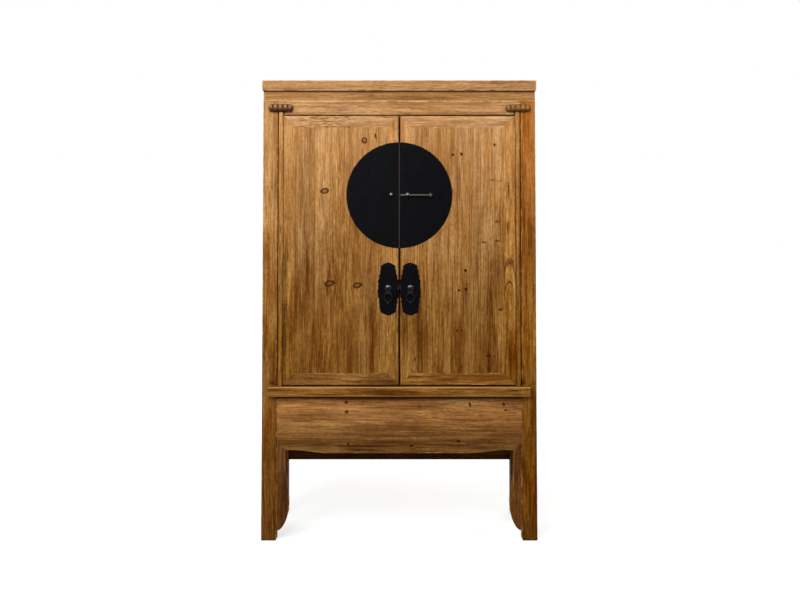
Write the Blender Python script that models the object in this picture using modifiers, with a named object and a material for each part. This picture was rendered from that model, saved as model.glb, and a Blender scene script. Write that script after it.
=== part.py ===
"""Tapered wardrobe: a mortised pine case, two doors hung on wooden pivots, and a round iron face plate.

Metres. X runs to the right, Y to the back and Z up. The floor is at Z = 0.
"""

import math

import bmesh
import bpy
from mathutils import Matrix, Vector

for old_object in list(bpy.data.objects):
    bpy.data.objects.remove(old_object)

PARTS = bpy.data.collections.new("wardrobe")
CUTTERS = bpy.data.collections.new("cutters")
CUTTERS.hide_render = True
for collection in (PARTS, CUTTERS):
    bpy.context.scene.collection.children.link(collection)

# Case
HEIGHT = 1.800
WIDTH = 1.062  # over the posts, just under the top
DEPTH = 0.500  # over the posts
SPLAY = 0.010  # how far each post leans out at the floor
POST = 0.057
FOOT_CHAMFER = 0.004
HEAD_TENON = 0.024  # side of the square tenon on a post's head
HEAD_TENON_LENGTH = 0.022

# Clearances
FIT = 0.0003  # between pieces that touch
PIVOT_PLAY = 0.0006  # round the door dowels and under the pivot blocks
LIFT_PLAY = 0.003  # round the loose floor
PIN_PLAY = 0.0006  # round the lock pin in its eyes

# Top
TOP_THICK = 0.040
TOP_SIDE_OVERHANG = 0.004
TOP_FRONT_OVERHANG = 0.012
TOP_FRAME = 0.095  # width of the mitred members
TOP_PANEL = 0.016
TOP_ARRIS = 0.004  # rounding of the outer edges

# Rails and panels
FRIEZE = 0.040
HEAD_RAIL = 0.053
MID_RAIL = 0.050
RAIL_THICK = 0.034
RAIL_SETBACK = 0.001  # behind the posts' outer faces
TENON_THICK = 0.012
TENON_LENGTH = 0.022
TENON_SHOULDER = 0.010  # above and below a tenon
TENON_COVER = 0.004  # wood behind the front rails' tenons
GROOVE = 0.008
TONGUE = 0.006
SIDE_PANEL = 0.014
BACK_PANEL = 0.012
STRETCHER_BOTTOM = 0.232
STRETCHER = 0.050

# Sill, apron and spandrels
SILL_TOP = 0.605
SILL_HEIGHT = 0.037
SILL_PROJECTION = 0.035
SILL_END = 0.027  # post face left bare beyond each end
SILL_ROUND = 0.006
APRON_BOTTOM = 0.343
APRON_THICK = 0.022
APRON_SETBACK = 0.003
APRON_ARCH = 0.011  # rise of the lower edge towards the legs
FRONT_ARCH_RUN = 0.138  # length over which the front apron's edge rises
FRONT_ARCH_FLAT = 0.027  # level stretch between that rise and the spandrel
SIDE_ARCH_RUN = 0.060
SIDE_ARCH_FLAT = 0.020
SPANDREL_THICK = 0.020
SPANDREL_SETBACK = 0.005
SPANDREL_NECK = 0.034
SPANDREL_BELLY = 0.049
SPANDREL_BELLY_Z = 0.155
SPANDREL_NECK_Z = 0.270
SPANDREL_FOOT_Z = 0.038

# Inside
BOTTOM_Z = 0.392
BOTTOM_THICK = 0.012
FLOOR_THICK = 0.014
FLOOR_REBATE = 0.007
SHELF_TOP = 1.156
SHELF_THICK = 0.016
SHELF_FRONT_GAP = 0.021  # from the doors' backs
BEARER_HEIGHT = 0.025
BEARER_LEDGE = 0.018  # stands out from the posts' inner faces
BEARER_SEAT = 0.026  # lies against the posts
BEARER_TENON = 0.015

# Doors
DOOR_SIDE_GAP = 0.003
DOOR_TOP_GAP = 0.004
DOOR_BOTTOM_GAP = 0.006
DOOR_MIDDLE_GAP = 0.005
LEAF_THICK = 0.024
LEAF_FRAME = 0.045
DOOR_PANEL = 0.014
BATTEN_HEIGHT = 0.036
BATTEN_FROM_END = 0.230  # from the panel's ends to the battens
BEAD_RADIUS = 0.010  # the round pivot post along each door's outer edge
BEAD_PROUD = 0.008  # how far it stands in front of the posts
DOWEL_RADIUS = 0.006
DOWEL_LENGTH = 0.018
DOOR_STOP = 0.010  # lip behind the doors' top edge

# Carved pivot blocks
BLOCK_RISE = 0.009  # from the door opening's top to a block's underside
BLOCK_HEIGHT = 0.032
BLOCK_HALF = 0.046
BLOCK_REACH = 0.022
BLOCK_LOBES = 5
BLOCK_LOBE_BULGE = 0.0055
BLOCK_EDGE = 0.003
TANG_HALF = 0.014  # tail let into the head rail
TANG_STEP = 0.004  # shorter than the block, above and below

# Iron fittings
SHEET = 0.002
PLATE_RADIUS = 0.207
PLATE_Z = 1.352
PLATE_GAP = 0.0012
EYE_X = 0.032
EYE_WIRE = 0.0024
EYE_REACH = 0.0125  # from the plate to the pin's axis
EYE_SHANK = 0.0026
EYE_DEPTH = 0.018
PIN_RADIUS = 0.004
PIN_LENGTH = 0.129
PIN_START = 0.002  # from the middle of the front, drawn back
PIN_COLLAR = 0.006
PIN_COLLAR_LENGTH = 0.003
KNOB_RADIUS = 0.0095
PULL_X = 0.0435
PULL_PLATE_Z = 0.9855
PULL_PLATE_HALF = 0.1035
PULL_Z = 0.988
BOSS_RADIUS = 0.014
BOSS_HEIGHT = 0.006
BOSS_SHANK = 0.005
LOOP_WIRE = 0.0018
LOOP_INNER = 0.0026
LOOP_PLAY = 0.0012
DROP_THICK = 0.004
DROP_BRIDGE = 0.0034  # the bar that turns in the boss's loop
DROP_EYE_HALF = 0.0044
DROP_SHOULDER = 0.0062
DROP_NECK = 0.0074
DROP_FLARE = (0.0128, 0.0200)  # half-width, and distance below the turning axis
DROP_BELLY = (0.0182, 0.0355)
DROP_TAPER = (0.0130, 0.0490)
DROP_POINT = (0.0046, 0.0570)
DROP_LENGTH = 0.065
DROP_HOLE_HALF = 0.0143
DROP_HOLE_HEIGHT = 0.027
DROP_EDGE = 0.0008

# The pull plate's right-hand side: corners from its middle, and how far each stretch swells
PULL_SIDE = [
    (0.0270, 0.0915),
    (0.0315, 0.0660),
    (0.0360, 0.0440),
    (0.0385, 0.0100),
    (0.0365, -0.0440),
    (0.0335, -0.0680),
    (0.0295, -0.0905),
]
PULL_BULGES = [0.0012, 0.0014, 0.0028, 0.0044, 0.0012, 0.0012]
PULL_PEAK_BULGE = 0.0018

# Modelling
WELD = 0.00001
OVERLAP = 0.004  # how deep a joined shape reaches into the other
THROUGH = 0.010  # how far a cutter runs past a face
ROUND_STEPS = 20
ARC_STEPS = 5
HOLE_POINTS = 6
SMOOTH_ANGLE = math.radians(32)

# Places worked out from the sizes
HALF = WIDTH / 2
OPENING = HALF - POST
FRONT = (SILL_PROJECTION - DEPTH) / 2
BACK = FRONT + DEPTH
TOP_UNDER = HEIGHT - TOP_THICK
POST_TOP = TOP_UNDER - FRIEZE
OPENING_TOP = POST_TOP - HEAD_RAIL
BLOCK_BOTTOM = OPENING_TOP + BLOCK_RISE
MID_BOTTOM = SILL_TOP - MID_RAIL
ARCH_Z = APRON_BOTTOM + APRON_ARCH
POST_X = (OPENING, HALF)
FRONT_POST_Y = (FRONT, FRONT + POST)
BACK_POST_Y = (BACK - POST, BACK)
SIDE_X = (HALF - RAIL_SETBACK - RAIL_THICK, HALF - RAIL_SETBACK)
FRONT_Y = (FRONT + RAIL_SETBACK, FRONT + RAIL_SETBACK + RAIL_THICK)
BACK_Y = (BACK - RAIL_SETBACK - RAIL_THICK, BACK - RAIL_SETBACK)
ACROSS = (FIT - OPENING, OPENING - FIT)
ALONG = (FRONT + POST + FIT, BACK - POST - FIT)
LEAF_Y = (FRONT, FRONT + LEAF_THICK)
LEAF_X = DOOR_MIDDLE_GAP / 2
LEAF_Z = (SILL_TOP + DOOR_BOTTOM_GAP, OPENING_TOP - DOOR_TOP_GAP)
PIVOT_X = OPENING - DOOR_SIDE_GAP - BEAD_RADIUS
PIVOT_Y = FRONT - BEAD_PROUD + BEAD_RADIUS
STILE_X = PIVOT_X - BEAD_RADIUS
TANG_BACK = PIVOT_Y + BEAD_RADIUS + PIVOT_PLAY
SHEET_Y = (FRONT - FIT - SHEET, FRONT - FIT)
EYE_Y = SHEET_Y[0] - EYE_REACH
EYE_RING = PIN_RADIUS + PIN_PLAY + EYE_WIRE
LOOP_RING = LOOP_INNER + LOOP_WIRE
PULL_Y = SHEET_Y[0] - BOSS_HEIGHT - LOOP_RING

TURN = {
    "plan": Matrix.Identity(4),
    "front": Matrix(((1, 0, 0), (0, 0, -1), (0, 1, 0))).to_4x4(),
    "side": Matrix(((0, 0, 1), (1, 0, 0), (0, 1, 0))).to_4x4(),
}
THICKNESS_AXES = ("side", "front", "plan")  # what faces along X, Y and Z


def grown(limits, gap):
    return limits[0] - gap, limits[1] + gap


def mirrored(block):
    x, y, z = block
    return (-x[1], -x[0]), y, z


def middle(limits, size):
    centre = sum(limits) / 2
    return centre - size / 2, centre + size / 2


def lean(z):
    """How much wider the case is at height z than just under the top."""
    return 1 + SPLAY / HALF * (1 - z / TOP_UNDER)


def arc(centre, radius, start, end, steps=ARC_STEPS):
    """Points on a circle, or on an ellipse when radius is a pair; angles in degrees."""
    wide, high = radius if isinstance(radius, tuple) else (radius, radius)
    angles = [math.radians(start + (end - start) * i / steps) for i in range(steps + 1)]
    return [(centre[0] + wide * math.cos(a), centre[1] + high * math.sin(a)) for a in angles]


def scallops(corners, bulges, steps=ARC_STEPS):
    """An outline through the corners whose stretches swell out to the left by the bulges."""
    points = []
    for start, end, bulge in zip(corners, corners[1:], bulges):
        along = Vector(end) - Vector(start)
        out = Vector((-along.y, along.x)).normalized()
        for i in range(steps):
            t = i / steps
            point = Vector(start) + along * t + out * bulge * math.sin(math.pi * t)
            points.append(tuple(point))
    return points + [corners[-1]]


def linked(name, mesh, location=(0, 0, 0)):
    obj = bpy.data.objects.new(name, mesh)
    obj.location = location
    PARTS.objects.link(obj)
    return obj


def from_bmesh(name, bm, location=(0, 0, 0)):
    mesh = bpy.data.meshes.new(name)
    bm.to_mesh(mesh)
    bm.free()
    return linked(name, mesh, location)


def box(name, x, y, z):
    """A block between its low and high limits, with its origin at its centre."""
    bm = bmesh.new()
    bmesh.ops.create_cube(bm, size=1)
    bmesh.ops.scale(bm, vec=[high - low for low, high in (x, y, z)], verts=bm.verts)
    return from_bmesh(name, bm, [sum(limits) / 2 for limits in (x, y, z)])


def rod(name, radius, centre, length, axis):
    """A plain cylinder along X, Y or Z, about its centre."""
    bm = bmesh.new()
    bmesh.ops.create_cone(
        bm, cap_ends=True, segments=ROUND_STEPS, radius1=radius, radius2=radius, depth=length
    )
    turn = Vector((0, 0, 1)).rotation_difference(Vector(axis)).to_matrix()
    bmesh.ops.rotate(bm, cent=(0, 0, 0), matrix=turn, verts=bm.verts)
    return from_bmesh(name, bm, centre)


def evaluated(obj):
    """The object's mesh with its modifiers, or its curve's bevel and fill, made real."""
    bpy.context.view_layer.update()
    graph = bpy.context.evaluated_depsgraph_get()
    return bpy.data.meshes.new_from_object(obj.evaluated_get(graph))


def made_real(source, turn, location):
    """Swaps a curve, or a mesh with modifiers, for a plain welded mesh turned into its place."""
    name = source.name
    mesh = evaluated(source)
    bpy.data.objects.remove(source)
    bm = bmesh.new()
    bm.from_mesh(mesh)
    bpy.data.meshes.remove(mesh)
    bmesh.ops.remove_doubles(bm, verts=bm.verts, dist=WELD)
    bmesh.ops.edgeloop_fill(bm, edges=[edge for edge in bm.edges if edge.is_boundary])
    bmesh.ops.recalc_face_normals(bm, faces=bm.faces)
    bmesh.ops.transform(bm, matrix=turn, verts=bm.verts)
    return from_bmesh(name, bm, location)


def board(name, outlines, limits, facing, edge=0, smooth=False):
    """A flat piece: an outline, and any holes, given a thickness between two limits."""
    curve = bpy.data.curves.new(name, "CURVE")
    curve.dimensions = "2D"
    curve.fill_mode = "BOTH" if edge else "NONE"
    curve.extrude = (limits[1] - limits[0]) / 2 - edge
    curve.bevel_depth = edge
    curve.bevel_resolution = 0
    curve.offset = -edge
    curve.resolution_u = ARC_STEPS
    for points in outlines:
        spline = curve.splines.new("BEZIER" if smooth else "POLY")
        controls = spline.bezier_points if smooth else spline.points
        controls.add(len(points) - 1)
        for control, (u, v) in zip(controls, points):
            if smooth:
                control.co = (u, v, 0)
                control.handle_left_type = control.handle_right_type = "AUTO"
            else:
                control.co = (u, v, 0, 1)
        spline.use_cyclic_u = True
    source = bpy.data.objects.new(name, curve)
    PARTS.objects.link(source)
    location = [0, 0, 0]
    location[THICKNESS_AXES.index(facing)] = sum(limits) / 2
    return made_real(source, TURN[facing], location)


def turned(name, profile, location, axis):
    """A turned piece: (radius, height) pairs from the top down, spun about the axis."""
    mesh = bpy.data.meshes.new(name)
    bm = bmesh.new()
    points = [bm.verts.new((radius, 0, height)) for radius, height in profile]
    for one, other in zip(points, points[1:]):
        bm.edges.new((one, other))
    bm.to_mesh(mesh)
    bm.free()
    source = linked(name, mesh)
    screw = source.modifiers.new("turn", "SCREW")
    screw.steps = screw.render_steps = ROUND_STEPS
    screw.use_merge_vertices = True
    screw.merge_threshold = WELD
    turn = Vector((0, 0, 1)).rotation_difference(Vector(axis)).to_matrix().to_4x4()
    return made_real(source, turn, location)


def ring(name, radius, wire, location):
    """A wire ring about an axis along X."""
    curve = bpy.data.curves.new(name, "CURVE")
    curve.dimensions = "3D"
    curve.bevel_depth = wire
    curve.bevel_resolution = 2
    spline = curve.splines.new("POLY")
    points = arc((0, 0), radius, 0, 360, ROUND_STEPS)[:-1]
    spline.points.add(len(points) - 1)
    for control, (u, v) in zip(spline.points, points):
        control.co = (u, v, 0, 1)
    spline.use_cyclic_u = True
    source = bpy.data.objects.new(name, curve)
    PARTS.objects.link(source)
    return made_real(source, TURN["side"], location)


def combine(obj, tool, operation):
    """Cuts the tool out of the object, or joins it on, and takes the tool away."""
    modifier = obj.modifiers.new(operation.title(), "BOOLEAN")
    modifier.operation = operation
    modifier.object = tool
    CUTTERS.objects.link(tool)
    PARTS.objects.unlink(tool)
    mesh = evaluated(obj)
    obj.modifiers.remove(modifier)
    old = obj.data
    obj.data = mesh
    bpy.data.meshes.remove(old)
    bpy.data.objects.remove(tool)


def join(obj, *tools):
    for tool in tools:
        combine(obj, tool, "UNION")
    return obj


def cut(obj, *tools):
    for tool in tools:
        combine(obj, tool, "DIFFERENCE")
    return obj


def house(obj, *blocks):
    """Cuts room for blocks that fit into the object, each with its clearance all round."""
    return cut(obj, *[box("room", *[grown(side, FIT) for side in block]) for block in blocks])


def sliced(obj, point, outward):
    """Keeps what lies behind a plane, and closes the cut."""
    bm = bmesh.new()
    bm.from_mesh(obj.data)
    local = Vector(point) - obj.location
    geometry = bm.verts[:] + bm.edges[:] + bm.faces[:]
    bmesh.ops.bisect_plane(
        bm, geom=geometry, plane_co=local, plane_no=outward, clear_outer=True, dist=WELD
    )
    bmesh.ops.edgeloop_fill(bm, edges=[edge for edge in bm.edges if edge.is_boundary])
    bmesh.ops.recalc_face_normals(bm, faces=bm.faces)
    bm.to_mesh(obj.data)
    bm.free()
    return obj


def eased(obj, width, segments, chosen):
    """Bevels the edges whose two ends, in the world, are both chosen."""
    bm = bmesh.new()
    bm.from_mesh(obj.data)
    edges = [e for e in bm.edges if all(chosen(v.co + obj.location) for v in e.verts)]
    bmesh.ops.bevel(
        bm, geom=edges, offset=width, segments=segments, profile=0.5, affect="EDGES", material=-1
    )
    bm.to_mesh(obj.data)
    bm.free()
    return obj


def splayed(obj):
    """Leans a wooden piece out with the case: its width grows towards the floor."""
    for vertex in obj.data.vertices:
        place = vertex.co + obj.location
        vertex.co.x = place.x * lean(place.z) - obj.location.x
    return obj


def twin(right):
    """The left-hand copy of a right-hand piece."""
    left = right.copy()
    left.data = right.data.copy()
    left.name = right.name.replace("right", "left")
    left.data.transform(Matrix.Diagonal((-1, 1, 1, 1)))
    left.data.flip_normals()
    left.location.x = -right.location.x
    PARTS.objects.link(left)
    return left


def with_twins(right):
    """Leans right-hand pieces out, and adds their left-hand copies."""
    leaned = [splayed(piece) for piece in right]
    return leaned + [twin(piece) for piece in leaned]


def finish(name, colour, roughness, metallic):
    material = bpy.data.materials.new(name)
    material.use_nodes = True
    shader = material.node_tree.nodes["Principled BSDF"]
    shader.inputs["Base Color"].default_value = (*colour, 1)
    shader.inputs["Roughness"].default_value = roughness
    shader.inputs["Metallic"].default_value = metallic
    return material


def cross_tenons(y, z):
    """The two end tenons of a rail that runs across the case."""
    right = (OPENING - OVERLAP, OPENING + TENON_LENGTH), y, z
    return [right, mirrored(right)]


def along_tenons(x, z, length=TENON_LENGTH):
    """The front and back tenons of a rail that runs along a side."""
    front = (FRONT + POST - length, FRONT + POST + OVERLAP)
    back = (BACK - POST - OVERLAP, BACK - POST + length)
    return [(x, front, z), (x, back, z)]


def tenoned(rail, tenons):
    return join(rail, *[box("tenon", *tenon) for tenon in tenons])


def side_groove_panel(z):
    """The limits of a right-hand side panel with its tongues in the posts and rails."""
    y = (FRONT + POST - GROOVE + FIT, BACK - POST + GROOVE - FIT)
    return middle(SIDE_X, SIDE_PANEL), y, grown(z, GROOVE - FIT)


def back_groove_panel(z):
    return grown(ACROSS, GROOVE), middle(BACK_Y, BACK_PANEL), grown(z, GROOVE - FIT)


HEAD_TENON_Z = (OPENING_TOP + TENON_SHOULDER, POST_TOP - TENON_SHOULDER)
MID_TENON_Z = grown((MID_BOTTOM, SILL_TOP), -TENON_SHOULDER)
SILL_TENON_Z = grown((SILL_TOP - SILL_HEIGHT, SILL_TOP), -TENON_SHOULDER)
STRETCHER_Z = (STRETCHER_BOTTOM, STRETCHER_BOTTOM + STRETCHER)
APRON_TENON_Z = (BOTTOM_Z + BOTTOM_THICK + TENON_SHOULDER, MID_BOTTOM - TENON_SHOULDER)
FRONT_TENON_Y = (FRONT_Y[1] - TENON_COVER - TENON_THICK, FRONT_Y[1] - TENON_COVER)
BACK_TENON_Y = middle(BACK_Y, TENON_THICK)
SIDE_TENON_X = middle(SIDE_X, TENON_THICK)
APRON_Y = (FRONT + APRON_SETBACK, FRONT + APRON_SETBACK + APRON_THICK)
APRON_X = (HALF - APRON_SETBACK - APRON_THICK, HALF - APRON_SETBACK)
BEARER_X = (OPENING - BEARER_LEDGE, OPENING + BEARER_SEAT)
BEARER_Z = (SHELF_TOP - SHELF_THICK - BEARER_HEIGHT, SHELF_TOP - SHELF_THICK - FIT)
BEARER_TENON_X = (OPENING + OVERLAP, OPENING + BEARER_SEAT - OVERLAP)
BEARER_TENON_Z = middle(BEARER_Z, TENON_THICK)
SIDE_PANEL_BOX = side_groove_panel((SILL_TOP, OPENING_TOP))
BACK_UPPER_BOX = back_groove_panel((SILL_TOP, OPENING_TOP))
BACK_LOWER_BOX = back_groove_panel((STRETCHER_Z[1], MID_BOTTOM))
BOTTOM_BOX = (
    (-APRON_X[0] - GROOVE + FIT, APRON_X[0] + GROOVE - FIT),
    (APRON_Y[1] - GROOVE + FIT, BACK_LOWER_BOX[1][0] - FIT),
    (BOTTOM_Z, BOTTOM_Z + BOTTOM_THICK),
)
FLOOR_BOX = (
    (LIFT_PLAY - SIDE_X[0] - FLOOR_REBATE, SIDE_X[0] + FLOOR_REBATE - LIFT_PLAY),
    (FRONT_Y[1] - FLOOR_REBATE + LIFT_PLAY, BACK_Y[0] + FLOOR_REBATE - LIFT_PLAY),
    (SILL_TOP - FLOOR_THICK, SILL_TOP),
)
FLOOR_ROOM = (
    grown(FLOOR_BOX[0], LIFT_PLAY - FIT),
    grown(FLOOR_BOX[1], LIFT_PLAY - FIT),
    (FLOOR_BOX[2][0], SILL_TOP + THROUGH),
)
TANG_BOX = (
    (PIVOT_X - TANG_HALF, OPENING - FIT),
    (FRONT - OVERLAP, TANG_BACK),
    (BLOCK_BOTTOM + TANG_STEP, BLOCK_BOTTOM + BLOCK_HEIGHT - TANG_STEP),
)


def post_head(y, top):
    return middle(POST_X, HEAD_TENON), middle(y, HEAD_TENON), (top - OVERLAP, top + HEAD_TENON_LENGTH)


def make_post(name, y, top, mortises):
    post = box(name, POST_X, y, (0, top))
    eased(post, FOOT_CHAMFER, 2, lambda place: place.z < WELD)
    join(post, box("tenon", *post_head(y, top)))
    return house(post, *mortises)


def posts():
    apron_tenon_x = middle(APRON_X, TENON_THICK)
    side = [
        along_tenons(SIDE_TENON_X, HEAD_TENON_Z),
        along_tenons(SIDE_TENON_X, MID_TENON_Z),
        along_tenons(apron_tenon_x, APRON_TENON_Z),
        along_tenons(BEARER_TENON_X, BEARER_TENON_Z, BEARER_TENON),
    ]
    front_cross = [
        cross_tenons(FRONT_TENON_Y, HEAD_TENON_Z),
        cross_tenons(FRONT_TENON_Y, SILL_TENON_Z),
        cross_tenons(middle(APRON_Y, TENON_THICK), APRON_TENON_Z),
    ]
    back_cross = [
        cross_tenons(BACK_TENON_Y, HEAD_TENON_Z),
        cross_tenons(BACK_TENON_Y, MID_TENON_Z),
        cross_tenons(BACK_TENON_Y, grown(STRETCHER_Z, -TENON_SHOULDER)),
    ]
    front = [pair[0] for pair in side + front_cross] + [SIDE_PANEL_BOX]
    back = [pair[1] for pair in side] + [pair[0] for pair in back_cross]
    back += [SIDE_PANEL_BOX, BACK_UPPER_BOX, BACK_LOWER_BOX]
    right = [
        make_post("front_right_post", FRONT_POST_Y, POST_TOP, front),
        make_post("back_right_post", BACK_POST_Y, TOP_UNDER, back),
    ]
    return with_twins(right)


def top_section(outer, outward):
    """The top frame's section: rounded outer edges, and a groove for the panel's tongue."""
    low = TOP_UNDER + FIT
    groove = grown((HEIGHT - TOP_PANEL, HEIGHT - TOP_PANEL + TONGUE), FIT)
    points = arc((TOP_ARRIS, low + TOP_ARRIS), TOP_ARRIS, 270, 180)
    points += arc((TOP_ARRIS, HEIGHT - TOP_ARRIS), TOP_ARRIS, 180, 90)
    points += [(TOP_FRAME, HEIGHT), (TOP_FRAME, groove[1])]
    points += [(TOP_FRAME - GROOVE, groove[1]), (TOP_FRAME - GROOVE, groove[0])]
    points += [(TOP_FRAME, groove[0]), (TOP_FRAME, low)]
    return [(outer - outward * inward, z) for inward, z in points]


def top():
    side = HALF + TOP_SIDE_OVERHANG
    front = FRONT - TOP_FRONT_OVERHANG
    x = (-side, side)
    y = (front, BACK)
    rails = {
        "top_front_rail": board("top_front_rail", [top_section(front, -1)], x, "side"),
        "top_back_rail": board("top_back_rail", [top_section(BACK, 1)], x, "side"),
        "top_right_rail": board("top_right_rail", [top_section(side, 1)], y, "front"),
        "top_left_rail": board("top_left_rail", [top_section(-side, -1)], y, "front"),
    }
    for name, along, ends in (("front", 1, front), ("back", -1, BACK)):
        for hand, corner in (("right", side), ("left", -side)):
            sign = math.copysign(1, corner)
            away = Vector((sign, along, 0)).normalized()
            here = Vector((corner, ends, TOP_UNDER))
            sliced(rails[f"top_{name}_rail"], here - away * FIT / 2, away)
            sliced(rails[f"top_{hand}_rail"], here + away * FIT / 2, -away)
    tenon = post_head(BACK_POST_Y, TOP_UNDER)
    house(rails["top_back_rail"], tenon, mirrored(tenon))
    house(rails["top_right_rail"], tenon)
    house(rails["top_left_rail"], mirrored(tenon))
    inner_x = grown(x, -TOP_FRAME - FIT)
    inner_y = grown(y, -TOP_FRAME - FIT)
    low = HEIGHT - TOP_PANEL
    panel = box("top_panel", inner_x, inner_y, (low + TONGUE / 2, HEIGHT))
    spread = GROOVE - FIT
    join(panel, box("tongue", grown(inner_x, spread), grown(inner_y, spread), (low, low + TONGUE)))
    return [*rails.values(), panel]


def cross_rails():
    """The rails that run from side to side, with their tenons, and the panels behind."""
    frieze = box("frieze_rail", (-HALF, HALF), FRONT_POST_Y, (POST_TOP + FIT, TOP_UNDER))
    head = post_head(FRONT_POST_Y, POST_TOP)
    house(frieze, head, mirrored(head))

    front_head = box("front_head_rail", ACROSS, FRONT_Y, (OPENING_TOP, POST_TOP))
    tenoned(front_head, cross_tenons(FRONT_TENON_Y, HEAD_TENON_Z))
    lip_half = STILE_X - OVERLAP
    lip_y = (LEAF_Y[1] + FIT, FRONT_Y[1])
    lip_z = (OPENING_TOP - DOOR_STOP, OPENING_TOP + OVERLAP)
    join(front_head, box("lip", (-lip_half, lip_half), lip_y, lip_z))
    socket_x = (TANG_BOX[0][0], OPENING + THROUGH)
    socket = (socket_x, (FRONT - THROUGH, TANG_BACK), (OPENING_TOP - THROUGH, TANG_BOX[2][1]))
    house(front_head, socket, mirrored(socket))

    back_head = box("back_head_rail", ACROSS, BACK_Y, (OPENING_TOP, TOP_UNDER))
    tenoned(back_head, cross_tenons(BACK_TENON_Y, HEAD_TENON_Z))
    house(back_head, BACK_UPPER_BOX)

    back_mid = box("back_mid_rail", ACROSS, BACK_Y, (MID_BOTTOM, SILL_TOP))
    tenoned(back_mid, cross_tenons(BACK_TENON_Y, MID_TENON_Z))
    house(back_mid, BACK_UPPER_BOX, BACK_LOWER_BOX, FLOOR_ROOM)

    stretcher = box("back_stretcher", ACROSS, BACK_Y, STRETCHER_Z)
    tenoned(stretcher, cross_tenons(BACK_TENON_Y, grown(STRETCHER_Z, -TENON_SHOULDER)))
    house(stretcher, BACK_LOWER_BOX)

    upper = box("back_upper_panel", *BACK_UPPER_BOX)
    lower = box("back_lower_panel", *BACK_LOWER_BOX)
    rails = [frieze, front_head, back_head, back_mid, stretcher, upper, lower]
    return [splayed(rail) for rail in rails]


def make_sill():
    """The ledge in front of the posts and the rail behind it, in one piece."""
    z = (SILL_TOP - SILL_HEIGHT, SILL_TOP)
    front = FRONT - SILL_PROJECTION
    section = arc((front + SILL_ROUND, z[0] + SILL_ROUND), SILL_ROUND, 270, 180)
    section += arc((front + SILL_ROUND, z[1] - SILL_ROUND), SILL_ROUND, 180, 90)
    section += [(FRONT - FIT, z[1]), (FRONT - FIT, z[0])]
    end = HALF - SILL_END
    sill = board("sill", [section], (-end, end), "side")
    join(sill, box("rail", ACROSS, (FRONT - SILL_PROJECTION / 2, FRONT_Y[1]), grown(z, -WELD)))
    tenoned(sill, cross_tenons(FRONT_TENON_Y, SILL_TENON_Z))
    house(sill, FLOOR_ROOM)
    depth = DOWEL_LENGTH + PIVOT_PLAY
    for sign in (-1, 1):
        centre = (sign * PIVOT_X, PIVOT_Y, SILL_TOP - depth / 2 + THROUGH / 2)
        cut(sill, rod("socket", DOWEL_RADIUS + PIVOT_PLAY, centre, depth + THROUGH, (0, 0, 1)))
    return splayed(sill)


def apron_outline(half, top, run, flat, corner):
    """A symmetric apron: level in the middle, rising towards its ends, with mitred lower corners."""
    steps = 2 * ARC_STEPS
    end = half - corner
    right = [(half, top), (half, ARCH_Z + corner)] if corner else [(half, top)]
    right.append((end, ARCH_Z))
    for i in range(steps + 1):
        t = i / steps
        fall = APRON_ARCH * (1 - math.cos(math.pi * t)) / 2
        right.append((end - flat - run * t, ARCH_Z - fall))
    return right + [(-x, z) for x, z in reversed(right)]


def aprons():
    neck = SPANDREL_NECK
    top_z = SILL_TOP - SILL_HEIGHT - FIT
    shape = apron_outline(OPENING - FIT, top_z, FRONT_ARCH_RUN, FRONT_ARCH_FLAT, neck)
    front = board("front_apron", [shape], APRON_Y, "front")
    tenoned(front, cross_tenons(middle(APRON_Y, TENON_THICK), APRON_TENON_Z))
    house(front, BOTTOM_BOX)

    half = (ALONG[1] - ALONG[0]) / 2
    shape = apron_outline(half, MID_BOTTOM - FIT, SIDE_ARCH_RUN, SIDE_ARCH_FLAT, 0)
    shape = [(sum(ALONG) / 2 + y, z) for y, z in shape]
    side = board("right_apron", [shape], APRON_X, "side")
    tenoned(side, along_tenons(middle(APRON_X, TENON_THICK), APRON_TENON_Z))
    house(side, BOTTOM_BOX)
    return [splayed(front), *with_twins([side])]


def spandrels():
    """The shaped brackets inside the front legs: a neck under the apron, then a belly."""
    post = OPENING - FIT
    gap = FIT * math.sqrt(2)
    neck = post - SPANDREL_NECK
    belly = post - SPANDREL_BELLY
    shape = [(post, ARCH_Z + SPANDREL_NECK - gap), (neck, ARCH_Z - gap)]
    steps = 2 * ARC_STEPS
    for i in range(steps + 1):
        t = i / steps
        x = neck + (belly - neck) * (1 - math.cos(math.pi * t)) / 2
        shape.append((x, SPANDREL_NECK_Z + (SPANDREL_BELLY_Z - SPANDREL_NECK_Z) * t))
    sweep = (SPANDREL_BELLY, SPANDREL_BELLY_Z - SPANDREL_FOOT_Z)
    shape += arc((post, SPANDREL_BELLY_Z), sweep, 180, 270, steps)[1:]
    y = (FRONT + SPANDREL_SETBACK, FRONT + SPANDREL_SETBACK + SPANDREL_THICK)
    right = board("right_spandrel", [shape], y, "front")
    return with_twins([right])


def sides():
    """The right and left sides: head and mid rails, the panel between them and the shelf bearer."""
    head = box("right_head_rail", SIDE_X, ALONG, (OPENING_TOP, TOP_UNDER))
    tenoned(head, along_tenons(SIDE_TENON_X, HEAD_TENON_Z))
    house(head, SIDE_PANEL_BOX)
    mid = box("right_mid_rail", SIDE_X, ALONG, (MID_BOTTOM, SILL_TOP))
    tenoned(mid, along_tenons(SIDE_TENON_X, MID_TENON_Z))
    house(mid, SIDE_PANEL_BOX, FLOOR_ROOM)
    panel = box("right_side_panel", *SIDE_PANEL_BOX)
    bearer = box("right_shelf_bearer", BEARER_X, ALONG, BEARER_Z)
    tenoned(bearer, along_tenons(BEARER_TENON_X, BEARER_TENON_Z, BEARER_TENON))
    return with_twins([head, mid, panel, bearer])


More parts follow.
